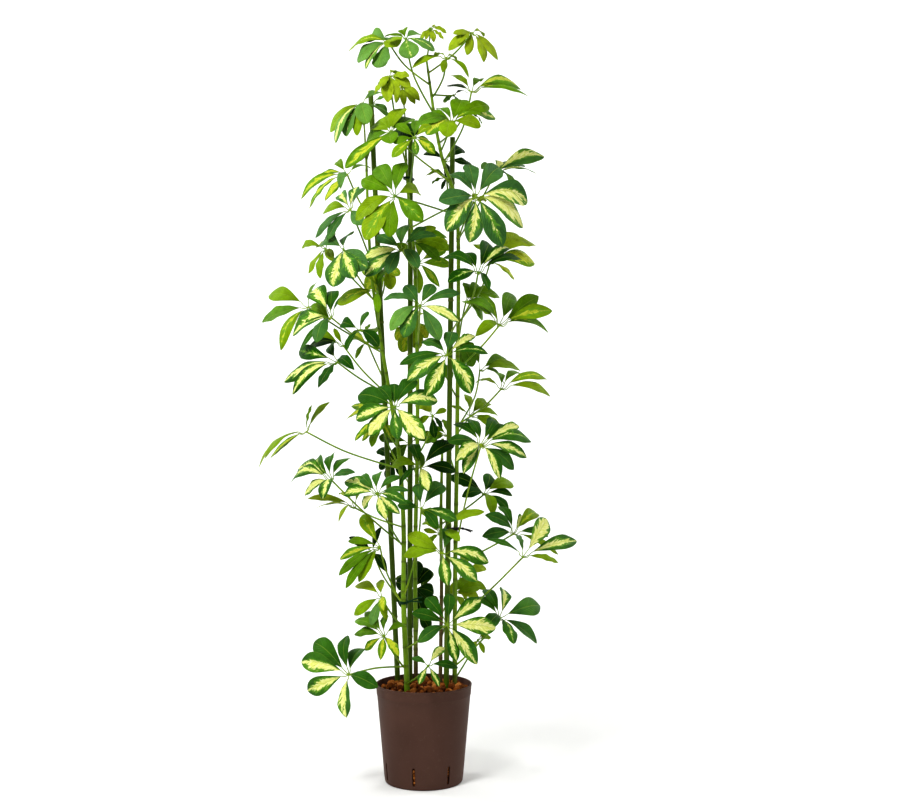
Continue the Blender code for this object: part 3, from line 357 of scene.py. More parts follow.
      ((5.8, 1.8), (5.6, -0.6), (5.0, -3.4), (1.5, -3.6), (-5.2, 2.6), (1.2, 3.8), (-4.4, -0.2),
       (-6.8, 3.4)))),
    ("leaf_36", "stem_left", 35.5,
     ((-0.3, -9, 51.7), 0.6, 0.8, 0.42, "green", ".s...",
      ((4.2, 4.0), (6.5, -2.0), (3.0, -3.4), (-4.4, 0.4), (-0.6, 4.2)))),
    ("leaf_37", "stem_left", 34.2,
     ((-8.0, -5, 44.3), 0.4, 0.5, 0.38, "mid", "qnVNno",
      ((-3.4, 5.6), (-6.2, 0.8), (-7.5, -2.6), (-7.6, -5.4), (-6.2, -7.6), (-3.8, -6.4))),
     ((-9.6, 2, 42.4), 0.8, 0.5, 0.34, "shaded", "....",
      ((-4.4, 3.2, -2.0), (1.4, 5.0, -1.0), (2.8, -3.2), (-3.6, -2.4)))),
    ("leaf_38", "stem_left", 29.5,
     ((-7.6, -6, 35.2), 0.8, 0.8, 0.36, "light", "p.gyp.",
      ((-5.1, 1.6), (-5.1, -3.3), (-1.8, -4.9), (0.6, -1.8), (-0.5, 2.8), (1.0, -3.6)))),
    ("leaf_39", "stem_low", 40.0,
     ((3.4, -5, 47.5), 0.8, 0.6, 0.4, "mid", "poPp",
      ((-3.6, 1.0), (-3.8, 3.4), (7.8, 3.4, -1.0), (3.2, -1.6))),
     ((3.6, -10, 43.7), 0.5, 0.8, 0.4, "green", "vvvoo.",
      ((8.4, -1.8), (6.2, -5.0), (0.9, -5.4), (-6.4, 3.2), (-7.0, -0.4), (1.2, 3.8)))),
    ("leaf_40", "stem_tall", 40.5,
     ((16.9, 1, 46.1), 0.8, 0.6, 0.32, "green", "...wO.y",
      ((-6.0, 0.0), (-5.4, 3.9), (-2.8, 4.9), (4.9, 3.4), (8.8, -4.3), (6.9, -1.0), (2.4, 2.6)))),
    ("leaf_41", "stem_tall", 30.0,
     ((18.1, -10, 43.0), 0.9, 0.6, 0.34, "green", "nPyVO",
      ((-6.4, 3.6), (-0.8, 3.6), (5.0, 6.4), (10.8, 1.8), (6.8, -1.6)))),
    ("leaf_42", "stem_low", 31.0,
     ((6.9, 12, 36.3), 0.9, 0.6, 0.32, "light", "p.pp.",
      ((5.3, 1.4), (5.3, -2.4), (1.1, -3.9), (-2.4, -3.4), (0.6, 4.4)))),
    ("leaf_43", "stem_tall", 21.5,
     ((14.3, 1, 30.3), 0.8, 0.8, 0.38, "green", "..v..s.",
      ((-5.4, 3.3), (-2.8, 4.6), (0.8, 4.7), (8.3, 1.3), (7.2, -5.0), (2.4, -3.6), (-3.2, -1.4)))),
    ("leaf_44", "stem_left", 25.5,
     ((4.5, -15, 31.6), 0.4, 0.8, 0.38, "green", "....vyvl",
      ((0.4, 5.1), (-3.9, 4.4), (-6.3, 2.1), (-5.2, -2.6), (6.0, 3.9), (8.7, -1.0), (1.6, -6.2),
       (5.2, -6.8)))),
    ("leaf_45", "stem_left", 22.0,
     ((-7.0, -9, 28.6), 0.6, 0.8, 0.33, "mid", "...vvy..",
      ((-3.7, 3.6), (-5.7, 2.2), (-5.6, -0.2), (-3.7, -3.0), (-0.5, -3.4), (2.8, -3.0), (0.2, 3.2),
       (3.8, 1.4))),
     ((-13.1, -13, 22.4), 0.3, 0.8, 0.38, "green", "..rvl..",
      ((-0.8, 6.3), (-6.9, 4.6), (-9.2, 1.3), (-7.9, -3.9), (-0.2, -6.7), (5.3, -1.0), (2.2, 3.6)))),
    ("leaf_46", "stem_left", 19.0,
     ((1.0, -11, 23.6), 0.7, 0.6, 0.36, "green", ".vv.y",
      ((-3.0, 1.1), (-1.6, -2.8), (2.0, -3.4), (5.4, -0.4), (3.0, 2.8)))),
    ("leaf_47", "stem_back", 27.5,
     ((-1.0, 14, 33.0), -0.5, 0.8, 0.46, "shaded", ".....",
      ((1.4, 5.8), (-4.4, 4.0), (-5.0, -1.2), (3.4, -2.8), (-0.8, -4.8)))),
)
# Small leaves among the stems, in the same form as above. No solid stands for these.
INNER_SPRAYS = (
    ("inner_01", "stem_left", 88.5,
     ((-7.7, 8, 96.8), 0.6, 0.8, 0.5, "young", "vy.vs",
      ((-3.7, -4.3), (-1.4, -5.0), (1.4, -4.3), (2.9, -1.5), (-2.5, 1.2)))),
    ("inner_02", "stem_back", 94.5,
     ((-2.4, 6, 101.4), 0.5, 0.8, 0.38, "mid", ".p.py",
      ((6.7, 1.3), (7.7, -1.3), (5.4, -3.6), (4.6, 3.3), (6.9, 0.2)))),
    # inner_03 takes the young tone as painted light, for the glow of light shining through its backlit
    # leaflets.
    ("inner_03", "stem_back", 79.5,
     ((-2.3, 9, 86.4), 0.5, 0.8, 0.5, "young", "yv.y.",
      ((-3.3, -3.5), (-2.1, -5.8), (1.0, -5.4), (2.9, -3.1), (2.1, 1.9)))),
    ("inner_04", "stem_tall", 72.0,
     ((3.6, 8, 78.6), 0.6, 0.8, 0.52, "mid", "...",
      ((-1.4, -4.3), (-2.9, -1.9), (1.4, -3.5)))),
    ("inner_05", "stem_tall", 76.0,
     ((6.3, 9, 82.5), 0.6, 0.8, 0.52, "mid", "....",
      ((3.5, -1.9), (3.1, -4.7), (1.0, -4.7), (2.5, 0.8)))),
    ("inner_06", "stem_left", 60.0,
     ((-7.7, 2, 66.8), 0.8, 0.6, 0.46, "mid", "nV.p",
      ((-4.7, -1.9), (-4.0, -3.2), (-2.1, -4.3), (3.2, -2.5)))),
    ("inner_07", "stem_back", 53.5,
     ((-6.4, 16, 59.2), 0.5, 0.6, 0.58, "shaded", "....",
      ((-3.1, 2.3), (-2.9, -1.6), (-0.8, -3.9), (2.3, -2.7)))),
    ("inner_08", "stem_tall", 82.5,
     ((8.0, 9, 90.3), 0.6, 0.8, 0.5, "mid", "..p..",
      ((2.9, 3.5), (6.6, 1.6), (5.0, -1.9), (0.8, 3.9), (3.5, -3.1)))),
    ("inner_09", "stem_back", 24.0,
     ((-1.3, 8, 30.3), 0.5, 0.6, 0.58, "shaded", ".....",
      ((-2.7, 2.7), (2.7, 3.1), (-2.3, -3.1), (2.3, -3.1), (-0.4, 4.3)))),
    ("inner_10", "stem_low", 27.0,
     ((5.2, 6, 33.9), 0.5, 0.6, 0.36, "light", ".p..",
      ((5.6, 1.4), (5.4, -0.8), (3.4, 2.9), (2.8, -2.6)))),
    ("inner_11", "stem_tall", 105.5,
     ((4.3, 5, 113.7), 0.8, 0.6, 0.46, "mid", "PnnD",
      ((-4.2, 0.4), (-3.4, 1.9), (-2.9, -1.1), (-1.0, -2.4)))),
    ("inner_13", "stem_low", 41.0,
     ((3.0, 6, 45.6), 0.6, 0.6, 0.36, "light", "p.p..",
      ((-2.9, 2.9), (-1.2, 2.8), (-3.2, 0.8), (2.2, 1.9), (-2.2, -1.6)))),
    ("inner_17", "stem_back", 61.5,
     ((1.6, 5, 68.3), 0.6, 0.6, 0.38, "light", "pp..dd",
      ((-3.4, 2.0), (-1.2, 3.0), (2.6, 1.2), (-3.0, -2.0), (1.8, -2.4), (0.4, -4.2)))),
    ("inner_18", "stem_tall", 57.5,
     ((4.4, 7, 64.4), 0.6, 0.6, 0.36, "mid", "..o.",
      ((-4.2, -1.4), (-3.2, 1.4), (-4.4, 0.2), (-0.8, 3.2)))),
    ("inner_19", "stem_tall", 19.0,
     ((10.3, 8, 24.9), 0.8, 0.6, 0.36, "light", "...p",
      ((2.6, 0.2), (2.0, 1.8), (1.2, -2.2), (-1.6, -1.6)))),
    ("inner_20", "stem_left", 117.0,
     ((-9.9, 5, 128.0), 0.7, 0.8, 0.42, "blue", "pp.",
      ((3.4, 1.5), (2.8, -2.0), (-1.6, -4.6)))),
    ("inner_14", "stem_tall", 101.8,
     ((9.2, -9, 107.0), 0.4, 0.8, 0.4, "young", ".....",
      ((-2.4, 1.0), (-1.8, -1.6), (0.9, -2.5), (2.4, 0.8), (0.3, 2.0)))),
    ("inner_15", "stem_back", 22.5,
     ((-1.8, 8, 35.0), 0.2, 0.6, 0.7, "shaded", "......",
      ((-0.6, 5.2), (2.8, 3.4), (-3.8, 1.0), (-2.8, -3.8), (1.4, -4.8), (3.6, -1.2)))),
    ("inner_16", "stem_left", 74.0,
     ((-11.2, 9, 82.5), 0.7, 0.8, 0.4, "mid", "y.v.n",
      ((-3.4, 1.6), (2.8, 3.0), (3.6, -1.4), (-2.2, -3.2), (0.6, 3.9)))),
    ("inner_12", "stem_tall", 119.5,
     ((8.0, 6, 126.5), 0.9, 0.6, 0.46, "sage", "vvn",
      ((4.0, 0.8), (5.7, -0.8), (3.2, -2.0)))),
)
# The youngest leaf at the tip of a stem, in the same form as above.
CROWNS = {
    "stem_tall": ((1.2, -1, 140.7), 0.8, 0.6, 0.34, "young", "......",
     ((-1.9, -2.2, 2.0), (-0.8, -2.4), (0.7, -3.0), (2.5, -2.4), (3.1, -0.9), (1.2, 0.8))),
    "stem_back": ((-4.2, 1, 130.3), 0.7, 0.6, 0.32, "young", "......",
     ((-1.0, -3.4), (0.6, -4.1), (2.2, -2.6), (2.6, -3.9), (3.5, -3.2), (-1.8, 0.4))),
}

# How each tone reads on the leaf material's colour ramp, from dark to young yellow-green. The first tone is
# painted shade: a near-black green for leaves and leaflets that lie in shadow behind and under the others.
TONES = {
    "shaded": 0.0,
    "dark": 0.15,
    "green": 0.25,
    "blue": 0.35,
    "sage": 0.5,
    "mid": 0.67,
    "light": 0.83,
    "young": 1.0,
}
# A letter for each leaflet: how much of it is yellow, and whether one half has more than the other.
# Letters that aren't here have no yellow. A capital letter, or n, is a narrow leaflet.
MARKS = {
    ".": (0.0, 0.0),
    "s": (0.33, 0.0),
    "v": (0.54, 0.0),
    "y": (0.74, 0.0),
    "l": (0.50, -0.8),
    "r": (0.50, 0.8),
    "q": (0.36, 0.0),
    "w": (0.40, 0.0),
}
# The letters of leaflets that have a tone of their own, and of those a little paler than their leaf. The
# letter d gives a leaflet the near-black painted shade of the first tone.
OWN_TONES = {"o": "light", "w": "light", "g": "sage", "d": "shaded"}
PALE_MARKS = "pq"
PALE_SHIFT = 0.17
NO_MARKS = (0.0, 0.0, 0.0)


def linked(name, data):
    """An object with the given data, in the scene."""
    piece = bpy.data.objects.new(name, data)
    bpy.context.scene.collection.objects.link(piece)
    return piece


def mesh_object(name, bm):
    """The object of a finished bmesh, with its faces turned outwards."""
    bmesh.ops.recalc_face_normals(bm, faces=bm.faces)
    mesh = bpy.data.meshes.new(name)
    bm.to_mesh(mesh)
    bm.free()
    return linked(name, mesh)


class Shape:
    """Points and faces gathered for one mesh, with the values that its materials read."""

    def __init__(self):
        self.points = []
        self.faces = []
        self.blade = []
        self.marks = []
        self.slots = []
        self.under = []

    def add(self, points, faces, blade, marks, slot, under=0.0):
        first = len(self.points)
        self.points += [tuple(point) for point in points]
        self.faces += [tuple(first + corner for corner in face) for face in faces]
        self.blade += blade
        self.marks += marks
        self.slots += [slot] * len(faces)
        self.under += [under] * len(faces)

    def add_tube(self, path, radii, sides, marks, slot, closed=False):
        """A tube along the path. The marks are one value, or a list with one for each point of the path."""
        rings = tube_rings(path, radii, sides, closed)
        count = len(rings)
        points = [point for ring in rings for point in ring]
        faces = []
        for row in range(count if closed else count - 1):
            here = row * sides
            after = (row + 1) % count * sides
            for side in range(sides):
                turn = (side + 1) % sides
                faces.append((here + side, here + turn, after + turn, after + side))
        if not closed:
            faces.append(tuple(reversed(range(sides))))
            faces.append(tuple(range((count - 1) * sides, count * sides)))
        blade = [(side / sides, row / count, 0.0) for row in range(count) for side in range(sides)]
        values = marks if isinstance(marks, list) else [marks] * count
        self.add(points, faces, blade, [value for value in values for _ in range(sides)], slot)

    def add_sheet(self, top, thickness, blade, marks):
        """A blade's upper face, the same face lower down as its pale underside, and the rim between them."""
        bottom = [point - thickness for point in top]
        across_count = BLADE_COLUMNS + 1
        upper = []
        for row in range(BLADE_ROWS):
            for column in range(BLADE_COLUMNS):
                corner = row * across_count + column
                upper.append((corner, corner + across_count, corner + across_count + 1, corner + 1))
        total = len(top)
        last = BLADE_ROWS * across_count
        border = [(column, column + 1) for column in range(BLADE_COLUMNS)]
        border += [(last + column + 1, last + column) for column in range(BLADE_COLUMNS)]
        for row in range(BLADE_ROWS):
            left = row * across_count
            right = left + BLADE_COLUMNS
            border += [(left + across_count, left), (right, right + across_count)]
        rim = [(start, end, end + total, start + total) for start, end in border]
        self.add(top + bottom, upper + rim, blade * 2, [marks] * total * 2, 0)
        first_below = len(self.points) - total
        self.faces += [tuple(first_below + corner for corner in reversed(face)) for face in upper]
        self.slots += [0] * len(upper)
        self.under += [1.0] * len(upper)

    def make(self, name, materials, sharp_deg=50):
        """The mesh object, smooth but for its sharp edges."""
        mesh = bpy.data.meshes.new(name)
        mesh.from_pydata(self.points, [], self.faces)
        for key, values in (("blade", self.blade), ("marks", self.marks)):
            layer = mesh.attributes.new(key, "FLOAT_VECTOR", "POINT")
            layer.data.foreach_set("vector", [number for value in values for number in value])
        under = mesh.attributes.new("under", "FLOAT", "FACE")
        under.data.foreach_set("value", self.under)
        for material in materials:
            mesh.materials.append(material)
        mesh.polygons.foreach_set("material_index", self.slots)
        mesh.shade_smooth()
        mesh.set_sharp_from_angle(angle=math.radians(sharp_deg))
        mesh.update()
        return linked(name, mesh)


def tube_rings(path, radii, sides, closed=False):
    """A ring of points round each place on the path, turned as little as possible from one to the next."""
    count = len(path)
    rings = []
    across = None
    for row, (place, radius) in enumerate(zip(path, radii)):
        before = path[row - 1] if row or closed else path[0]
        after = path[(row + 1) % count] if row < count - 1 or closed else path[-1]
        forward = (after - before).normalized()
        if across is None:
            across = forward.orthogonal().normalized()
        across = (across - forward * across.dot(forward)).normalized()
        other = forward.cross(across)
        ring = []
        for side in range(sides):
            turn = 2 * math.pi * side / sides
            ring.append(place + (across * math.cos(turn) + other * math.sin(turn)) * radius)
        rings.append(ring)
    return rings


def smooth_path(points, parts):
    """Points along a smooth curve through the given ones, with the given number of parts to a span."""
    path = []
    last = len(points) - 1
    for index in range(last):
        before = points[max(index - 1, 0)]
        start = points[index]
        end = points[index + 1]
        after = points[min(index + 2, last)]
        for part in range(parts):
            t = part / parts
            rising = (end - before) * t + (2 * before - 5 * start + 4 * end - after) * t * t
            path.append(0.5 * (2 * start + rising + (3 * start - before - 3 * end + after) * t * t * t))
    path.append(points[last])
    return path


def scattered(number, low, high, salt):
    """A repeatable value between low and high for a numbered item."""
    wave = math.sin(number * 12.9898 + salt * 78.233) * 43758.5453
    return low + (high - low) * (wave - math.floor(wave))


def dress(piece, slot, *nodes):
    """Makes the piece ride with the plant and stand for its CAD nodes. Its slot is not used."""
    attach(piece, "root")
    if nodes:
        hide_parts(*nodes)


# Material nodes

class Graph:
    """A material's node tree, with short ways to add nodes to it."""

    def __init__(self, name):
        self.material = bpy.data.materials.new(name)
        self.material.use_nodes = True
        self.tree = self.material.node_tree
        self.shader = self.tree.nodes["Principled BSDF"]

    def add(self, kind, inputs=None, output=0, **settings):
        """A node with its settings and inputs, which are numbers or other nodes' sockets."""
        node = self.tree.nodes.new("ShaderNode" + kind)
        for key, value in settings.items():
            setattr(node, key, value)
        for key, value in (inputs or {}).items():
            self.set(node.inputs[key], value)
        return node.outputs[output]

    def set(self, socket, value):
        if isinstance(value, bpy.types.NodeSocket):
            self.tree.links.new(value, socket)
        else:
            socket.default_value = value

    def math(self, operation, first, second=0.0, clamp=False):
        return self.add("Math", {0: first, 1: second}, operation=operation, use_clamp=clamp)

    def plus(self, *terms):
        total = terms[0]
        for term in terms[1:]:
            total = self.math("ADD", total, term)
        return total

    def times(self, first, second):
        return self.math("MULTIPLY", first, second)

    def step(self, value, low, high):
        """0 below low and 1 above high, with a smooth rise between."""
        return self.add(
            "MapRange",
            {"Value": value, "From Min": low, "From Max": high},
            interpolation_type="SMOOTHSTEP",
        )

    def mix(self, share, first, second):
        """A mix of two colours."""
        node = self.tree.nodes.new("ShaderNodeMix")
        node.data_type = "RGBA"
        self.set(node.inputs[0], share)
        self.set(node.inputs[6], first)
        self.set(node.inputs[7], second)
        return node.outputs[2]

    def scaled(self, colour, factor):
        return self.add("VectorMath", {0: colour, "Scale": factor}, operation="SCALE")

    def noise(self, vector, scale, detail=2.0, roughness=0.5):
        return self.add(
            "TexNoise",
            {"Vector": vector, "Scale": scale, "Detail": detail, "Roughness": roughness},
        )

    def split(self, vector):
        """The three parts of a vector."""
        node = self.tree.nodes.new("ShaderNodeSeparateXYZ")
        self.tree.links.new(vector, node.inputs[0])
        return tuple(node.outputs)

    def attribute(self, name):
        """The three parts of a vector attribute."""
        return self.split(self.add("Attribute", output="Vector", attribute_name=name))

    def vector(self, x, y, z):
        return self.add("CombineXYZ", {0: x, 1: y, 2: z})

    def places(self):
        """The object's own coordinates, in metres."""
        return self.add("TexCoord", output="Object")

    def drawn_out(self, share):
        """The object's own coordinates with heights shrunk to a share, for a texture drawn out upwards."""
        x, y, z = self.split(self.places())
        return self.vector(x, y, self.times(z, share))

    def ramp(self, value, stops):
        """A colour ramp through (position, colour) stops."""
        node = self.tree.nodes.new("ShaderNodeValToRGB")
        self.set(node.inputs[0], value)
        elements = node.color_ramp.elements
        while len(elements) < len(stops):
            elements.new(0.5)
        for element, (position, colour) in zip(elements, stops):
            element.position = position
            element.color = (*colour, 1)
        return node.outputs[0]

    def bump(self, height, strength, distance):
        normal = self.add("Bump", {"Height": height, "Strength": strength, "Distance": distance})
        self.set(self.shader.inputs["Normal"], normal)

    def finish(self, colour, roughness, gloss=0.5):
        self.set(self.shader.inputs["Base Color"], colour)
        self.set(self.shader.inputs["Roughness"], roughness)
        self.set(self.shader.inputs["Specular IOR Level"], gloss)
        return self.material


def leaf_material():
    """Green blades with yellow patches that spread from the midrib along the side veins."""
    graph = Graph("variegated leaf")
    across, along, seed = graph.attribute("blade")
    amount, bias, tone = graph.attribute("marks")
    under = graph.add("Attribute", output="Fac", attribute_name="under")
    edge = graph.math("ABSOLUTE", across)
    half = graph.math("SIGN", across)
    vein = graph.plus(along, graph.times(edge, -0.3))
    coarse_place = graph.vector(
        graph.plus(graph.times(vein, 7.0), graph.times(seed, 37.0)),
        graph.plus(graph.times(edge, 1.1), graph.times(half, 5.3)),
        graph.times(seed, 91.0),
    )
    fine_place = graph.vector(
        graph.plus(graph.times(vein, 26.0), graph.times(seed, 11.0)),
        graph.plus(graph.times(edge, 3.2), graph.times(half, 7.1)),
        graph.times(seed, 29.0),
    )
    coarse = graph.noise(coarse_place, 1.0, 3.0, 0.6)
    fine = graph.noise(fine_place, 1.0, 2.0, 0.6)
    field = graph.plus(
        graph.times(amount, 2.0),
        graph.times(edge, -1.25),
        graph.times(along, -0.35),
        graph.times(bias, across),
        graph.times(coarse, 1.7),
        graph.times(fine, 0.8),
        -1.72,
    )
    yellow = graph.step(field, 0.0, 0.06)
    marked = graph.step(amount, 0.1, 0.2)
    pale_green = graph.times(graph.step(field, -0.34, -0.24), marked)

    # The first stop is painted shade: a near-black green for leaves that lie in shadow.
    green = graph.ramp(tone, (
        (0.0, (0.006, 0.040, 0.001)),
        (0.15, (0.018, 0.096, 0.004)),
        (0.25, (0.038, 0.150, 0.012)),
        (0.35, (0.072, 0.205, 0.054)),
        (0.5, (0.150, 0.335, 0.070)),
        # The mid, light and young greens are partly the leaves' own colour and partly painted light: their
        # strong yellow-green stands for light shining through the thin blades.
        (0.67, (0.115, 0.270, 0.003)),
        (0.83, (0.240, 0.390, 0.005)),
        (1.0, (0.370, 0.500, 0.018)),
    ))
    # Painted light and shade: the shade noise lightens and darkens the blades in broad patches, for the
    # light and shade on their folds and curves. Where it is high the green is also mixed towards a lighter
    # one, as painted light, and base_shade darkens each leaflet towards its stalk.
    shade = graph.noise(graph.places(), 16.0, 3.0)
    mottle = graph.noise(graph.places(), 90.0, 4.0, 0.62)
    lit_green = graph.mix(0.35, green, (0.11, 0.23, 0.008, 1))
    lit_share = graph.times(graph.step(shade, 0.4, 0.7), graph.step(tone, 0.1, 0.4))
    green = graph.mix(lit_share, green, lit_green)
    base_shade = graph.step(along, -0.1, 0.5)
    green = graph.scaled(green, graph.plus(-0.08, graph.times(shade, 1.05), graph.times(mottle, 0.75)))
    rib_lines = graph.math("PINGPONG", graph.times(vein, 11.0), 0.5)
    green = graph.scaled(green, graph.plus(0.66, graph.times(base_shade, 0.3), graph.times(rib_lines, 0.3)))
    lighter = graph.mix(0.6, green, (0.15, 0.36, 0.026, 1))
    speckle = graph.step(fine, 0.35, 0.65)
    pale_cream = graph.mix(speckle, (0.66, 0.70, 0.14, 1), (0.86, 0.87, 0.36, 1))
    strong_yellow = graph.mix(speckle, (0.40, 0.48, 0.010, 1), (0.62, 0.66, 0.06, 1))
    cream = graph.mix(graph.step(tone, 0.55, 0.66), pale_cream, strong_yellow)
    colour = graph.mix(pale_green, green, lighter)
    colour = graph.mix(yellow, colour, cream)

    rib = graph.step(rib_lines, 0.06, 0.0)
    midrib = graph.step(edge, 0.055, 0.02)
    ribs = graph.math("MAXIMUM", graph.times(rib, 0.35), midrib)
    colour = graph.mix(graph.times(ribs, 0.34), colour, (0.34, 0.47, 0.06, 1))
    margin = graph.step(edge, 0.93, 1.0)
    colour = graph.mix(graph.times(margin, 0.3), colour, (0.22, 0.34, 0.03, 1))
    below = graph.mix(0.35, colour, (0.13, 0.25, 0.02, 1))
    colour = graph.mix(under, colour, below)

    relief = graph.plus(graph.times(midrib, -0.8), graph.times(rib_lines, 1.3), graph.times(coarse, 0.6))
    graph.bump(relief, 0.7, 0.9 * MM)
    roughness = graph.plus(0.36, graph.times(shade, 0.12), graph.times(under, 0.22))
    return graph.finish(colour, roughness, 0.04)


def petiole_material():
    """The leaf stalks: pale yellowish green, a little browner in places."""
    graph = Graph("petiole")
    patches = graph.noise(graph.places(), 22.0, 3.0)
    colour = graph.mix(graph.step(patches, 0.35, 0.7), (0.11, 0.23, 0.006, 1), (0.23, 0.34, 0.012, 1))
    graph.bump(graph.noise(graph.places(), 900.0), 0.15, 0.2 * MM)
    return graph.finish(colour, 0.42, 0.2)


def stem_material():
    """The stems: green above, brown with age below, with leaf scars and pale pores."""
    graph = Graph("stem")
    brown, scar, _ = graph.attribute("marks")
    places = graph.places()
    streaks = graph.noise(graph.drawn_out(0.12), 420.0, 3.0, 0.6)
    pores = graph.step(graph.noise(places, 700.0, 1.0), 0.66, 0.72)
    green = graph.mix(streaks, (0.085, 0.19, 0.005, 1), (0.23, 0.37, 0.014, 1))
    wood = graph.mix(streaks, (0.055, 0.040, 0.014, 1), (0.17, 0.12, 0.045, 1))
    patches = graph.noise(places, 30.0, 3.0)
    share = graph.step(graph.plus(brown, graph.times(patches, 0.5)), 0.55, 0.95)
    colour = graph.mix(share, green, wood)
    colour = graph.mix(graph.times(pores, 0.35), colour, (0.36, 0.38, 0.12, 1))
    colour = graph.mix(graph.times(scar, 0.75), colour, (0.05, 0.045, 0.012, 1))
    graph.bump(graph.plus(streaks, pores, graph.times(scar, -1.0)), 0.4, 0.35 * MM)
    return graph.finish(colour, graph.plus(0.42, graph.times(share, 0.2)), 0.2)


def cane_material():
    """The support canes: dark green stained bamboo, with paler rings at its nodes."""
    graph = Graph("cane")
    ring, cap, _ = graph.attribute("marks")
    places = graph.places()
    streaks = graph.noise(graph.drawn_out(0.05), 520.0, 4.0, 0.65)
    colour = graph.mix(streaks, (0.028, 0.066, 0.002, 1), (0.105, 0.18, 0.006, 1))
    worn = graph.step(graph.noise(places, 35.0, 4.0), 0.56, 0.7)
    colour = graph.mix(graph.times(worn, 0.35), colour, (0.13, 0.16, 0.018, 1))
    colour = graph.mix(graph.times(ring, 0.6), colour, (0.19, 0.20, 0.05, 1))
    colour = graph.mix(cap, colour, (0.34, 0.40, 0.09, 1))
    graph.bump(graph.plus(streaks, graph.times(ring, 0.6)), 0.35, 0.3 * MM)
    return graph.finish(colour, 0.4, 0.2)


def pot_material():
    """The pot: matt dark brown plastic with a fine moulded grain."""
    graph = Graph("pot plastic")
    places = graph.places()
    grain = graph.noise(places, 1500.0, 2.0, 0.6)
    cloud = graph.noise(places, 22.0, 3.0)
    colour = graph.mix(cloud, (0.074, 0.036, 0.025, 1), (0.090, 0.046, 0.034, 1))
    dust = graph.step(graph.noise(places, 240.0, 3.0), 0.6, 0.78)
    colour = graph.mix(graph.times(dust, 0.16), colour, (0.17, 0.12, 0.09, 1))
    graph.bump(grain, 0.3, 0.15 * MM)
    return graph.finish(colour, graph.plus(0.5, graph.times(cloud, 0.14)), 0.12)


def clay_material():
    """Fired clay granules: orange brown, each its own tint, with a porous skin. Painted shade darkens their
    pits, the lower granules and the mass beneath them.
    """
    graph = Graph("clay granules")
    tint, depth, _ = graph.attribute("marks")
    places = graph.places()
    pits = graph.noise(places, 620.0, 4.0, 0.7)
    patches = graph.noise(places, 130.0, 3.0)
    colour = graph.ramp(tint, (
        (0.0, (0.035, 0.009, 0.002)),
        (0.35, (0.13, 0.034, 0.006)),
        (0.7, (0.27, 0.080, 0.013)),
        (1.0, (0.52, 0.20, 0.050)),
    ))
    paler = graph.mix(0.35, colour, (0.40, 0.17, 0.05, 1))
    colour = graph.mix(graph.step(patches, 0.45, 0.7), colour, paler)
    # Painted shade: where the pitted skin sinks lowest, its colour darkens as shade in the pits.
    colour = graph.mix(graph.times(graph.step(pits, 0.48, 0.36), 0.7), colour, (0.05, 0.018, 0.008, 1))
    # Painted shade: the second mark darkens the lower granules a little, and the mass beneath them most.
    colour = graph.mix(depth, colour, (0.045, 0.018, 0.009, 1))
    graph.bump(pits, 0.8, 0.8 * MM)
    return graph.finish(colour, 0.9, 0.05)


def tie_material(name, colour):
    """The plastic of a wire tie, with a faint rib along its wires."""
    graph = Graph(name)
    ribs = graph.noise(graph.places(), 800.0, 2.0)
    graph.bump(ribs, 0.3, 0.2 * MM)
    shade = tuple(0.5 * part for part in colour)
    return graph.finish(graph.mix(ribs, (*shade, 1), (*colour, 1)), 0.45, 0.1)


def floor_material():
    """A plain pale floor and backdrop."""
    graph = Graph("pale floor")
    cloud = graph.noise(graph.places(), 3.0, 2.0)
    return graph.finish(graph.mix(cloud, (0.86, 0.86, 0.85, 1), (0.90, 0.90, 0.89, 1)), 0.8, 0.0)


# Stems and canes

def member_paths():
    """For each cane and stem, its centre line as (place, radius) from the foot up."""
    paths = {}
    for name, (foot, top, _) in CANES.items():
        paths[name] = [(Vector(foot) * CM, CANE_RADIUS), (Vector(top) * CM, CANE_RADIUS)]
    for name, points in STEMS.items():
        paths[name] = [(Vector(point[:3]) * CM, point[3] * MM) for point in points]
    return paths


def at_height(path, height):
    """The centre and the radius of a cane or stem at a height."""
    for (low, low_radius), (high, high_radius) in zip(path, path[1:]):
        if high.z >= height or high is path[-1][0]:
            share = (height - low.z) / (high.z - low.z)
            return low.lerp(high, share), low_radius + (high_radius - low_radius) * share


def even_steps(path, step):
    """The (place, radius) path with a point at each equal step of height."""
    foot = path[0][0].z
    top = path[-1][0].z
    count = max(2, round((top - foot) / step))
    return [at_height(path, foot + (top - foot) * index / count) for index in range(count + 1)]


def add_member(shape, path, bulges, slot, sides=14):
    """A cane or stem that swells at each bulge: (height, how much wider, half height, two marks)."""
    places = []
    radii = []
    marks = []
    for place, radius in path:
        wider = 0.0
        mark = [0.0, 0.0, 0.0]
        for height, swell, reach, first, second in bulges:
            near = math.exp(-((place.z - height) / reach) ** 2)
            wider += swell * near
            mark[0] = max(mark[0], first * near)
            mark[1] = max(mark[1], second * near)
        places.append(place)
        radii.append(radius + wider)
        marks.append(tuple(mark))
    shape.add_tube(places, radii, sides, marks, slot)


def make_cane(name, looks):
    """A cane with a ring at each of its nodes, and a pale cut end on the left one."""
    foot, top, rings = CANES[name]
    ends = [(Vector(foot) * CM, CANE_RADIUS * 0.97), (Vector(top) * CM, CANE_RADIUS * 0.9)]
    path = even_steps(ends, CANE_STEP)
    bulges = []
    for ring in rings:
        bulges.append((ring * CM, CANE_RING * 1.5, 1.6 * MM, 1.0, 0.0))
        bulges.append((ring * CM - 4 * MM, -CANE_RING * 0.5, 3 * MM, 0.0, 0.0))
    if name == "cane_left":
        bulges.append((top[2] * CM, 0.2 * MM, 7 * MM, 0.0, 1.0))
    shape = Shape()
    add_member(shape, path, bulges, 0)
    dress(shape.make(name + "_bamboo", [looks]), "cane", name)


def brown_share(name, height):
    """How brown a stem is at a height: the older, lower parts of some stems have turned to wood."""
    low, high = BROWN_TO_GREEN[name]
    return min(max((high - height) / (high - low), 0.0), 1.0) * MOST_BROWN


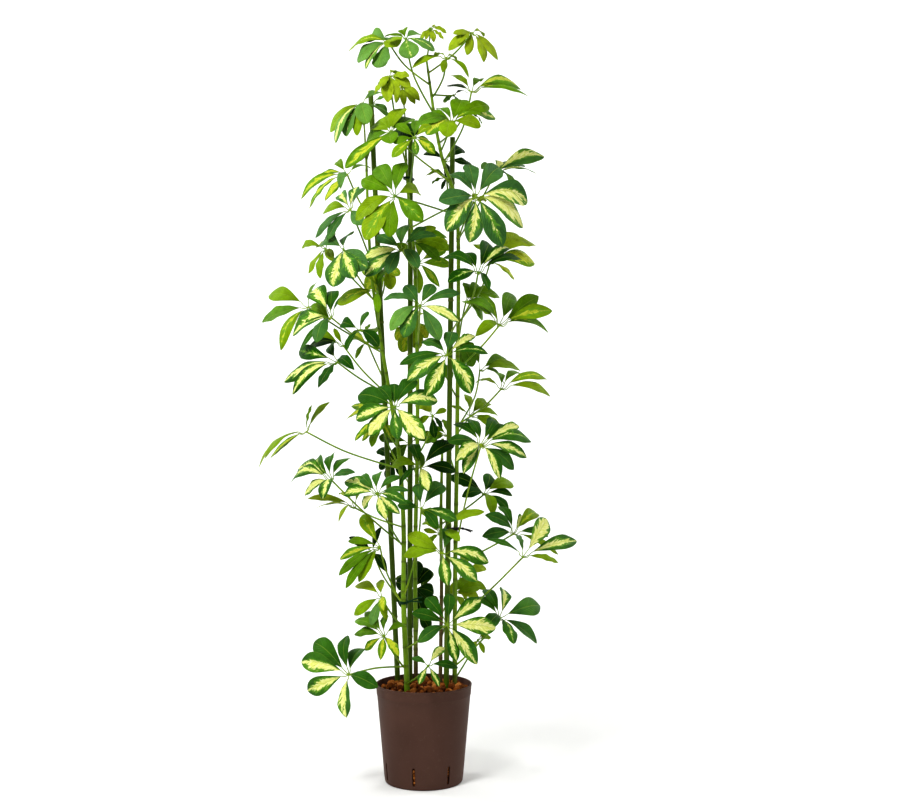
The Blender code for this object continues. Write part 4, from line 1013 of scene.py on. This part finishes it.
def make_stem(name, paths, joints, leaf_looks, stalk_looks, stem_looks):
    """A stem with a ring scar at each joint, and its youngest leaf where it has one."""
    points = [place for place, _ in paths[name]]
    radii = [Vector((radius, 0)) for _, radius in paths[name]]
    path = list(zip(smooth_path(points, 8), [radius.x for radius in smooth_path(radii, 8)]))
    path = even_steps(path, STEM_STEP)
    scars = list(joints[name])
    height = path[0][0].z + 3 * CM
    number = len(name)
    while height < path[-1][0].z:
        if min([abs(height - scar) for scar in scars] or [1]) > SCAR_CLEARANCE:
            scars.append(height)
        height += scattered(number, *SCAR_SPACING, 5) * CM
        number += 1
    bulges = [(scar, 0.45 * MM, 2.2 * MM, 0.0, 0.9) for scar in scars]
    shape = Shape()
    add_member(shape, path, bulges, 2)
    pairs = zip(shape.points, shape.marks)
    shape.marks = [(brown_share(name, point[2]), mark[1], 0.0) for point, mark in pairs]
    if name in CROWNS:
        leaf = CROWNS[name]
        tip = paths[name][-1][0]
        hub = Vector(leaf[0]) * CM
        bend = (tip + hub) / 2 + Vector((CROWN_STALK_BEND, 0, 0))
        stalk = smooth_path([tip - UP * 4 * MM, bend, hub], 6)
        shape.add_tube(stalk, spaced(1.7 * MM, 1.2 * MM, len(stalk)), 8, (0.0, 0.0, 1.0), 1)
        add_leaf(shape, leaf, CROWN_NUMBER + len(name))
    dress(shape.make(name + "_bark", [leaf_looks, stalk_looks, stem_looks]), "stem", name)


def spaced(first, last, count):
    """Evenly spaced values from first to last."""
    return [first + (last - first) * index / (count - 1) for index in range(count)]


# Leaves

def leaf_slopes(leaf):
    """How steeply a leaf's plane runs to the back, across and up. Leaves face outwards and forwards."""
    return OUTWARD_TURN * leaf[0][0], leaf[1]


def leaf_normal(leaf):
    """The direction that a leaf's upper side faces."""
    across, up = leaf_slopes(leaf)
    normal = Vector((across, -1, up)).normalized()
    return -normal if normal.z < FACING_DOWN else normal


def leaflet_reach(leaf):
    """For each leaflet, the vector from the hub to its tip, in metres."""
    sag = leaf[2]
    tips = leaf[6]
    across, up = leaf_slopes(leaf)
    steep = math.sqrt(1 + across * across + up * up)
    if leaf_normal(leaf).y > 0:
        steep = -steep
    longest = 0
    reaches = []
    for right, rise, *given in tips:
        back = given[0] if given else across * right + up * rise + sag * steep
        reaches.append(Vector((right, back, rise)) * CM)
        longest = max(longest, reaches[-1].length)
    longest = min(longest, LONGEST)
    for reach, tip in zip(reaches, tips):
        flat = Vector((reach.x, 0, reach.z)).length
        if len(tip) == 3:
            continue
        shortest = SHORTEST_SHARE * longest
        wanted = min(max(reach.length, shortest), longest)
        if flat < wanted:
            depth = math.sqrt(wanted * wanted - flat * flat)
            reach.y = math.copysign(depth, reach.y)
    return reaches


def root_bearings(reaches, normal):
    """Two axes across the hub, and for each leaflet in turn round it, its bearing and its number."""
    first = normal.orthogonal().normalized()
    second = normal.cross(first)
    angles = [math.atan2(reach.dot(second), reach.dot(first)) for reach in reaches]
    ordered = sorted((angle, index) for index, angle in enumerate(angles))
    bearings = [bearing for bearing, _ in ordered]
    count = len(bearings)
    for _ in range(ROOT_PASSES):
        for here in range(count):
            after = (here + 1) % count
            space = bearings[after] - bearings[here] + (2 * math.pi if after == 0 else 0)
            push = max(MIN_ROOT_SPACING - space, 0) / 2
            bearings[here] -= push
            bearings[after] += push
    return first, second, [(bearing, index) for bearing, (_, index) in zip(bearings, ordered)]


def between(pair, share):
    """The value at a share of the way from the first of a pair to the second."""
    return pair[0] + (pair[1] - pair[0]) * share


def outline(along, lean, fullness):
    """Half the width of a leaflet at a share of its length, which is widest past the middle."""
    return math.sin(math.pi * along ** lean) ** fullness if 0 < along < 1 else 0.0


def add_leaflet(shape, hub, normal, root_way, reach, width_share, narrow, marks, number, calm):
    """A leaflet: a thin stalk that runs on as the midrib, and a folded, waved blade."""
    length = reach.length
    forward = reach / length
    level = normal.cross(forward).normalized()
    tilt = 0.0 if calm else scattered(number, -BLADE_TILT, BLADE_TILT, 12)
    side = level * math.cos(tilt) + forward.cross(level) * math.sin(tilt)
    lift = forward.cross(side)
    arch = scattered(number, *BLADE_ARCH, 13)
    slender, broad = SLENDER_TO_BROAD
    breadth = min(max((width_share - slender) / (broad - slender), 0.0), 1.0)
    begin = between(BLADE_START, breadth)
    lean = between(OUTLINE_LEAN, breadth) + scattered(number, -0.1, 0.1, 14)
    fullness = between(OUTLINE_FULLNESS, breadth)
    half_width = length * (1 - begin) * width_share / 2 * scattered(number, *BLADE_WIDTHS, 1)
    if narrow:
        half_width *= NARROW_SHARE
    fold = scattered(number, *BLADE_FOLD, 2)
    roll = scattered(number, *BLADE_ROLL, 3)
    waves = scattered(number, *BLADE_WAVES, 4)
    ripple = scattered(number, *BLADE_RIPPLE_MM, 5) * MM
    phase = scattered(number, 0, 6.28, 6)
    bend = scattered(number, -BLADE_BEND, BLADE_BEND, 7)
    droop = scattered(number, *BLADE_DROOP, 8)
    twist = scattered(number, -BLADE_TWIST, BLADE_TWIST, 9)
    seed = scattered(number, 0.0, 1.0, 10)
    bow = scattered(number, *BLADE_BOW, 15) * math.sqrt(1 - forward.z * forward.z)
    if calm:
        arch = CALM_ARCH
        roll *= CALM_SHARE
        ripple *= CALM_SHARE
        droop = 0.0
        bow = 0.0

    def centre(along):
        share = begin + (1 - begin) * along
        hump = 4 * share * (1 - share)
        raised = lift * (arch * hump - droop * along * along) + UP * bow * hump
        return hub + reach * share + (raised + side * bend * math.sin(math.pi * along)) * length

    top = []
    blade = []
    for row in range(BLADE_ROWS + 1):
        along = 0.5 - 0.5 * math.cos(math.pi * row / BLADE_ROWS)
        swell = outline(along, lean, fullness)
        half = max(half_width * swell, 0.35 * MM)
        turn = twist * along
        for column in range(BLADE_COLUMNS + 1):
            across = 2 * column / BLADE_COLUMNS - 1
            edge = abs(across)
            lag = 1.9 if across > 0 else 0.0
            wave = ripple * across * across * math.sin(2 * math.pi * waves * along + phase + lag) * swell
            height = (fold * edge - roll * across * across) * half + wave
            out = (side * math.cos(turn) + lift * math.sin(turn)) * half * across
            top.append(centre(along) + out + lift * height)
            blade.append((across, along, seed))
    shape.add_sheet(top, lift * BLADE_THICKNESS, blade, marks)

    rib = [hub + root_way * 1.5 * MM, hub + root_way * 0.6 * HUB_RADIUS + reach * 0.07, centre(0.0)]
    rib = smooth_path(rib, 3)
    rib += [centre(along) - lift * 0.5 * MM for along in (0.12, 0.28, 0.46, 0.64, 0.82)]
    radii = spaced(1.0 * MM, 0.75 * MM, 7) + spaced(0.7 * MM, 0.2 * MM, 5)
    shape.add_tube(rib, radii, 6, (0.0, 0.0, marks[2]), 1)


def add_leaf(shape, leaf, number, calm=False):
    """A leaf's hub and its leaflets."""
    hub = Vector(leaf[0]) * CM
    normal = leaf_normal(leaf)
    reaches = leaflet_reach(leaf)
    first, second, roots = root_bearings(reaches, normal)
    knob = [hub - normal * 3 * MM, hub - normal * 1.5 * MM, hub]
    knob += [hub + normal * 0.9 * MM, hub + normal * 1.4 * MM]
    tone = TONES[leaf[4]]
    shape.add_tube(knob, [1.3 * MM, 2.0 * MM, 2.5 * MM, 2.0 * MM, 0.7 * MM], 10, (0.0, 0.0, tone), 1)
    for bearing, index in roots:
        letter = leaf[5][index]
        kind = letter.lower()
        amount, bias = MARKS.get(kind, (0.0, 0.0))
        narrow = letter.isupper() or letter == "n"
        shift = scattered(number * 16 + index, -TONE_SCATTER, TONE_SCATTER, 11)
        if kind in PALE_MARKS:
            shift += PALE_SHIFT
        shade = TONES[OWN_TONES.get(kind, leaf[4])] + shift
        marks = (amount, bias, min(max(shade, 0.0), 1.0))
        root_way = first * math.cos(bearing) + second * math.sin(bearing)
        leaflet = number * 16 + index
        add_leaflet(shape, hub, normal, root_way, reaches[index], leaf[3], narrow, marks, leaflet, calm)


def petiole_points(centre, radius, away, hub, normal):
    """The petiole's route, from inside the stem's surface to the hub."""
    span = (hub - centre).length
    root = centre + away * (radius + PETIOLE_GAP)
    collar = root + away * PETIOLE_COLLAR
    rising = collar + (away * PETIOLE_AWAY + UP * PETIOLE_RISE) * PETIOLE_REACH * span
    below_hub = hub - normal * PETIOLE_APPROACH * span
    middle = (collar + 3 * rising + 3 * below_hub + hub) / 8
    return [centre + away * 0.4 * radius, collar, middle, hub - normal * HUB_OVERSHOOT]


def make_spray(number, spray, paths, leaf_looks, stalk_looks, *nodes):
    """A leaf, or a few leaves that share a joint, with their petioles. It stands for the given CAD nodes."""
    name, stem, height, *leaves = spray
    centre, radius = at_height(paths[stem], height * CM)
    hubs = [Vector(leaf[0]) * CM for leaf in leaves]
    away = (sum(hubs, Vector()) / len(hubs) - centre) * Vector((1, 1, 0))
    away.normalize()
    shape = Shape()
    for index, leaf in enumerate(leaves):
        route = petiole_points(centre, radius, away, hubs[index], leaf_normal(leaf))
        route = smooth_path(route, 8)
        radii = [PETIOLE_RADIUS + PETIOLE_SWELL * math.exp(-place / 3.5) for place in range(len(route))]
        shape.add_tube(route, radii, 8, (0.0, 0.0, TONES[leaf[4]]), 1)
        add_leaf(shape, leaf, number * 4 + index, name in CALM_LEAVES)
    dress(shape.make(name + "_leaflets", [leaf_looks, stalk_looks]), "leaf", *nodes)


# Ties

def make_tie(name, paths, looks):
    """A wire tie: two turns round its members, and its ends twisted together and left standing out."""
    height, members, prong_cm, bearing = TIES[name]
    rounds = [at_height(paths[member], height * CM) for member in members]
    reach = max(radius for _, radius in rounds) + GAP + TIE_SLACK + 0.7 * TIE_RADIUS
    along = (rounds[-1][0] - rounds[0][0]) * Vector((1, 1, 0))
    half = along.length / 2
    axis = along.normalized() if half else Vector((1, 0, 0))
    side = UP.cross(axis)
    middle = (rounds[0][0] + rounds[-1][0]) / 2
    shape = Shape()
    for lift, tilt in TIE_TURNS:
        loop = []
        for step in range(TIE_STEPS):
            angle = 2 * math.pi * (step + 0.5) / TIE_STEPS
            shift = half if math.cos(angle) > 0 else -half
            out = axis * (shift + reach * math.cos(angle)) + side * reach * math.sin(angle)
            loop.append(middle + out + UP * (lift + tilt * reach * math.sin(angle)))
        shape.add_tube(loop, [TIE_RADIUS] * len(loop), 8, NO_MARKS, 0, True)
    turn = math.radians(bearing)
    away = Vector((math.cos(turn), PRONG_FORWARD, math.sin(turn))).normalized()
    first = away.orthogonal().normalized()
    second = away.cross(first)
    start = max(loop, key=lambda point: (point - middle).dot(away))
    length = prong_cm * CM
    for strand in (0, math.pi):
        points = []
        for step in range(PRONG_STEPS + 1):
            share = step / PRONG_STEPS
            spread = TIE_RADIUS * (1 + 4 * max(share - 0.3, 0.0))
            angle = strand + min(share, TWISTED_SHARE) * length / TWIST_LENGTH * 1.2
            place = start + away * length * share + UP * PRONG_BEND * share * (1 - share)
            points.append(place + (first * math.cos(angle) + second * math.sin(angle)) * spread)
        shape.add_tube(points, [TIE_RADIUS] * len(points), 7, NO_MARKS, 0)
    dress(shape.make(name + "_wire", [looks]), "tie", name)


# Pot and granules

def pot_radius(height):
    """The pot's outer radius at a height."""
    return BASE_RADIUS + (RIM_RADIUS - COLLAR_STEP - BASE_RADIUS) * height / POT_HEIGHT


def turned(name, profile, steps):
    """A mesh object turned about Z from a closed profile of (radius, height) points."""
    bm = bmesh.new()
    columns = []
    for step in range(steps):
        angle = 2 * math.pi * step / steps
        across = Vector((math.cos(angle), math.sin(angle), 0))
        columns.append([bm.verts.new(across * radius + UP * height) for radius, height in profile])
    for step in range(steps):
        here = columns[step]
        after = columns[(step + 1) % steps]
        for row in range(len(profile) - 1):
            bm.faces.new((here[row], here[row + 1], after[row + 1], after[row]))
    bmesh.ops.remove_doubles(bm, verts=bm.verts, dist=0.001 * MM)
    return mesh_object(name, bm)


def arc(centre, radius, first_deg, last_deg, parts):
    """Points on an arc in the (radius, height) plane."""
    points = []
    for part in range(parts + 1):
        angle = math.radians(first_deg + (last_deg - first_deg) * part / parts)
        points.append((centre[0] + radius * math.cos(angle), centre[1] + radius * math.sin(angle)))
    return points


def pot_profile():
    """The pot's wall in section, from the middle of its underside round its rim to that of its floor."""
    collar_z = POT_HEIGHT - COLLAR_DEPTH
    lip = 0.5 * WALL
    inner_top = RIM_RADIUS - WALL
    profile = [(0, 0), (0.5 * BASE_RADIUS, 0)]
    profile += arc((BASE_RADIUS - FOOT_ROUND, FOOT_ROUND), FOOT_ROUND, -90, 0, 6)
    for share in (0.1, 0.25, 0.4, 0.55, 0.7, 0.85):
        height = share * collar_z
        profile.append((pot_radius(height), height))
    under_collar = pot_radius(collar_z)
    profile += [(under_collar, collar_z - 1.6 * MM), (under_collar + COLLAR_STEP, collar_z - 0.6 * MM)]
    profile += [(under_collar + COLLAR_STEP, collar_z)]
    profile += [(RIM_RADIUS - 0.5 * MM, POT_HEIGHT - 4 * MM), (RIM_RADIUS, POT_HEIGHT - 3.4 * MM)]
    profile += arc((RIM_RADIUS - lip, POT_HEIGHT - lip), lip, 0, 180, 8)
    profile += [(inner_top, POT_HEIGHT - 3 * MM), (under_collar - WALL, collar_z)]
    profile += [(BASE_RADIUS - WALL, WALL + 2 * MM), (BASE_RADIUS - WALL - 2 * MM, WALL), (0, WALL)]
    return profile


def slot_ways():
    """For each slot, the directions out of the pot and along its wall."""
    ways = []
    for number in range(SLOT_COUNT):
        bearing = math.radians(FIRST_SLOT_DEG + 360 / SLOT_COUNT * number)
        out = Vector((math.cos(bearing), math.sin(bearing), 0))
        ways.append((out, UP.cross(out)))
    return ways


def slot_cutter():
    """One mesh that cuts every drainage slot, each with round ends."""
    bm = bmesh.new()
    half = SLOT_WIDTH / 2
    for out, side in slot_ways():
        ring = arc((0, SLOT_BOTTOM + SLOT_HEIGHT - half), half, 0, 180, 9)
        ring += arc((0, SLOT_BOTTOM + half), half, 180, 360, 9)
        inner = [bm.verts.new(out * (BASE_RADIUS - 12 * MM) + side * x + UP * z) for x, z in ring]
        outer = [bm.verts.new(out * (BASE_RADIUS + 14 * MM) + side * x + UP * z) for x, z in ring]
        bm.faces.new(inner)
        bm.faces.new(outer)
        for index in range(len(ring)):
            after = (index + 1) % len(ring)
            bm.faces.new((inner[index], inner[after], outer[after], outer[index]))
    return mesh_object("slots", bm)


def apply_modifiers(piece):
    """Replaces the object's mesh by its evaluated one."""
    bpy.context.view_layer.update()
    graph = bpy.context.evaluated_depsgraph_get()
    mesh = bpy.data.meshes.new_from_object(piece.evaluated_get(graph))
    piece.modifiers.clear()
    piece.data = mesh


def make_pot(looks):
    """The pot, with its thin rim, low collar and slots."""
    pot = turned("pot_shell", pot_profile(), POT_STEPS)
    cutter = slot_cutter()
    cut = pot.modifiers.new("Slots", "BOOLEAN")
    cut.operation = "DIFFERENCE"
    cut.object = cutter
    apply_modifiers(pot)
    bpy.data.objects.remove(cutter, do_unlink=True)
    pot.data.materials.clear()
    pot.data.materials.append(looks)
    pot.data.shade_smooth()
    pot.data.set_sharp_from_angle(angle=math.radians(35))
    dress(pot, "pot plastic", "pot")


def pebble_template(subdivisions):
    """The points and faces of a unit ball."""
    bm = bmesh.new()
    bmesh.ops.create_icosphere(bm, subdivisions=subdivisions, radius=1)
    points = [vert.co.copy() for vert in bm.verts]
    faces = [tuple(vert.index for vert in face.verts) for face in bm.faces]
    bm.free()
    return points, faces


def add_pebble(shape, template, place, radius, chance, depth):
    """A rounded, slightly lumpy granule."""
    points, faces = template
    turn = Matrix.Rotation(chance.uniform(0, 6.28), 3, chance.choice("XYZ"))
    stretch = Vector((chance.uniform(0.85, 1.15), chance.uniform(0.85, 1.15), chance.uniform(0.75, 1.0)))
    phases = [chance.uniform(0, 6.28) for _ in range(3)]
    lumpy = []
    facets = []
    for _ in range(PEBBLE_FACETS):
        way = Vector((chance.gauss(0, 1), chance.gauss(0, 1), chance.gauss(0, 1))).normalized()
        facets.append((way, chance.uniform(*FACET_DEPTHS)))
    for point in points:
        lump = 1.08 + 0.07 * math.sin(3.1 * point.x + phases[0]) + 0.07 * math.sin(4.3 * point.y + phases[1])
        lump += 0.06 * math.sin(5.7 * point.z + 2 * point.x + phases[2])
        chipped = point * lump
        for way, depth_share in facets:
            over = chipped.dot(way) - depth_share
            if over > 0:
                chipped = chipped - way * over * 0.85
        lumpy.append(place + turn @ (chipped * stretch * radius))
    # The second mark is the granule's share of painted shade.
    marks = (chance.random(), depth, 0.0)
    shape.add(lumpy, faces, [NO_MARKS] * len(points), [marks] * len(points), 0)


def pebble_places(paths, chance):
    """The granules at the top, as (place, radius, share of painted shade), clear of the stems, the canes and
    the wall.
    """
    members = [at_height(path, FILL_TOP) for path in paths.values()]
    found = []
    for lift, depth in PEBBLE_LAYERS:
        for _ in range(PEBBLE_TRIES):
            radius = chance.uniform(*PEBBLE_RADII)
            limit = pot_radius(FILL_TOP) - WALL - radius
            bearing = chance.uniform(0, 2 * math.pi)
            away = limit * math.sqrt(chance.random())
            heap = FILL_HEAP * (1 - (away / limit) ** 2)
            height = FILL_TOP + heap + lift + chance.uniform(-4.5, 3.5) * MM - radius * 0.3
            place = Vector((away * math.cos(bearing), away * math.sin(bearing), height))
            if any((place - centre).xy.length < radius * 0.9 + thick for centre, thick in members):
                continue
            if all((place - other).length > PEBBLE_SPACING * (radius + wide) for other, wide, _ in found):
                found.append((place, radius, depth))
    return found


def add_core(shape):
    """The mass under the granules, painted dark as the shade beneath them."""
    core_top = FILL_TOP - CORE_DROP
    slot_top = SLOT_BOTTOM + SLOT_HEIGHT
    bottom = WALL + 1 * MM
    core = [(0, core_top), (pot_radius(core_top) - WALL - 0.5 * MM, core_top)]
    core += [(pot_radius(slot_top) - WALL - CORE_INSET, slot_top)]
    core += [(BASE_RADIUS - WALL - CORE_INSET, bottom), (0, bottom)]
    points = []
    for radius, height in core:
        for step in range(CORE_STEPS):
            angle = 2 * math.pi * step / CORE_STEPS
            points.append((radius * math.cos(angle), radius * math.sin(angle), height))
    faces = []
    for row in range(len(core) - 1):
        here = row * CORE_STEPS
        below = here + CORE_STEPS
        for step in range(CORE_STEPS):
            after = (step + 1) % CORE_STEPS
            faces.append((here + step, below + step, below + after, here + after))
    shape.add(points, faces, [NO_MARKS] * len(points), [(0.3, 0.9, 0.0)] * len(points), 0)


def make_granules(paths, looks):
    """The clay granules: two layers at the top, more behind each slot, and a mass underneath. The lower
    layer, the granules behind the slots and the mass carry painted shade.
    """
    chance = random.Random(PEBBLE_SEED)
    shape = Shape()
    template = pebble_template(3)
    for place, radius, depth in pebble_places(paths, chance):
        add_pebble(shape, template, place, radius, chance, depth)
    small = pebble_template(2)
    for out, side in slot_ways():
        height = SLOT_BOTTOM + 1 * MM
        while height < SLOT_BOTTOM + SLOT_HEIGHT:
            radius = chance.uniform(2.6, 5.0) * MM
            away = pot_radius(height) - WALL - radius - 0.4 * MM
            place = out * away + side * chance.uniform(-2.5, 2.5) * MM + UP * (height + 0.5 * radius)
            add_pebble(shape, small, place, radius, chance, 0.1)
            height += 1.3 * radius
        height = SLOT_BOTTOM + 2.5 * MM
        while height < SLOT_BOTTOM + SLOT_HEIGHT - 4 * MM:
            radius = chance.uniform(1.5, 2.5) * MM
            away = pot_radius(height) - 0.6 * WALL - radius
            place = out * away + side * chance.uniform(-0.6, 0.6) * MM + UP * height
            add_pebble(shape, small, place, radius, chance, 0.0)
            height += chance.uniform(1.5, 2.6) * radius
    add_core(shape)
    dress(shape.make("clay_bed", [looks], 80), "clay granules", "granules")


# Stage

def make_backdrop():
    """A floor that curves up into a backdrop."""
    profile = [(BACKDROP_FRONT, 0.0), (0.0, 0.0)]
    for part in range(17):
        angle = math.pi / 2 * part / 16
        back = BACKDROP_BACK - BACKDROP_RADIUS + BACKDROP_RADIUS * math.sin(angle)
        profile.append((back, BACKDROP_RADIUS * (1 - math.cos(angle))))
    profile.append((BACKDROP_BACK, BACKDROP_HEIGHT))
    points = []
    for back, height in profile:
        points += [(-BACKDROP_HALF_WIDTH, back, height), (BACKDROP_HALF_WIDTH, back, height)]
    faces = [(2 * row, 2 * row + 1, 2 * row + 3, 2 * row + 2) for row in range(len(profile) - 1)]
    mesh = bpy.data.meshes.new("backdrop")
    mesh.from_pydata(points, [], faces)
    mesh.materials.append(floor_material())
    mesh.shade_smooth()
    backdrop = linked("backdrop", mesh)


def add_light(name, place, target, size, power):
    """A square white area light that faces the target."""
    lamp = bpy.data.lights.new(name, "AREA")
    lamp.size = size
    lamp.energy = power
    light = linked(name, lamp)
    light.location = place
    light.rotation_euler = (Vector(target) - Vector(place)).to_track_quat("-Z", "Y").to_euler()


def make_stage():
    """The floor, the soft studio light and the camera."""
    scene = bpy.context.scene
    make_backdrop()
    world = bpy.data.worlds.new("studio")
    world.use_nodes = True
    background = world.node_tree.nodes["Background"]
    background.inputs["Color"].default_value = (1, 1, 1, 1)
    background.inputs["Strength"].default_value = WORLD_STRENGTH
    scene.world = world
    for light in LIGHTS:
        add_light(*light)
    camera = bpy.data.cameras.new("camera")
    camera.sensor_width = SENSOR_WIDTH_MM
    camera.lens = LENS_MM
    view = linked("camera", camera)
    view.location = CAMERA_PLACE
    view.rotation_euler = (math.radians(90), 0, 0)
    scene.camera = view
    scene.view_settings.view_transform = "Standard"
    scene.view_settings.look = "Medium High Contrast"


def build():
    make_stage()
    leaf_looks = leaf_material()
    stalk_looks = petiole_material()
    stem_looks = stem_material()
    cane_looks = cane_material()
    paths = member_paths()
    make_pot(pot_material())
    make_granules(paths, clay_material())
    for name in CANES:
        make_cane(name, cane_looks)
    joints = {name: [] for name in STEMS}
    for _, stem, height, *_ in SPRAYS + INNER_SPRAYS:
        joints[stem].append(height * CM)
    for name in STEMS:
        make_stem(name, paths, joints, leaf_looks, stalk_looks, stem_looks)
    for number, spray in enumerate(SPRAYS):
        make_spray(number, spray, paths, leaf_looks, stalk_looks, spray[0])
    for number, spray in enumerate(INNER_SPRAYS, len(SPRAYS)):
        make_spray(number, spray, paths, leaf_looks, stalk_looks)
    green_tie = tie_material("green tie", (0.012, 0.060, 0.018))
    black_tie = tie_material("black tie", (0.010, 0.010, 0.011))
    for name in TIES:
        make_tie(name, paths, green_tie if name in GREEN_TIES else black_tie)


build()
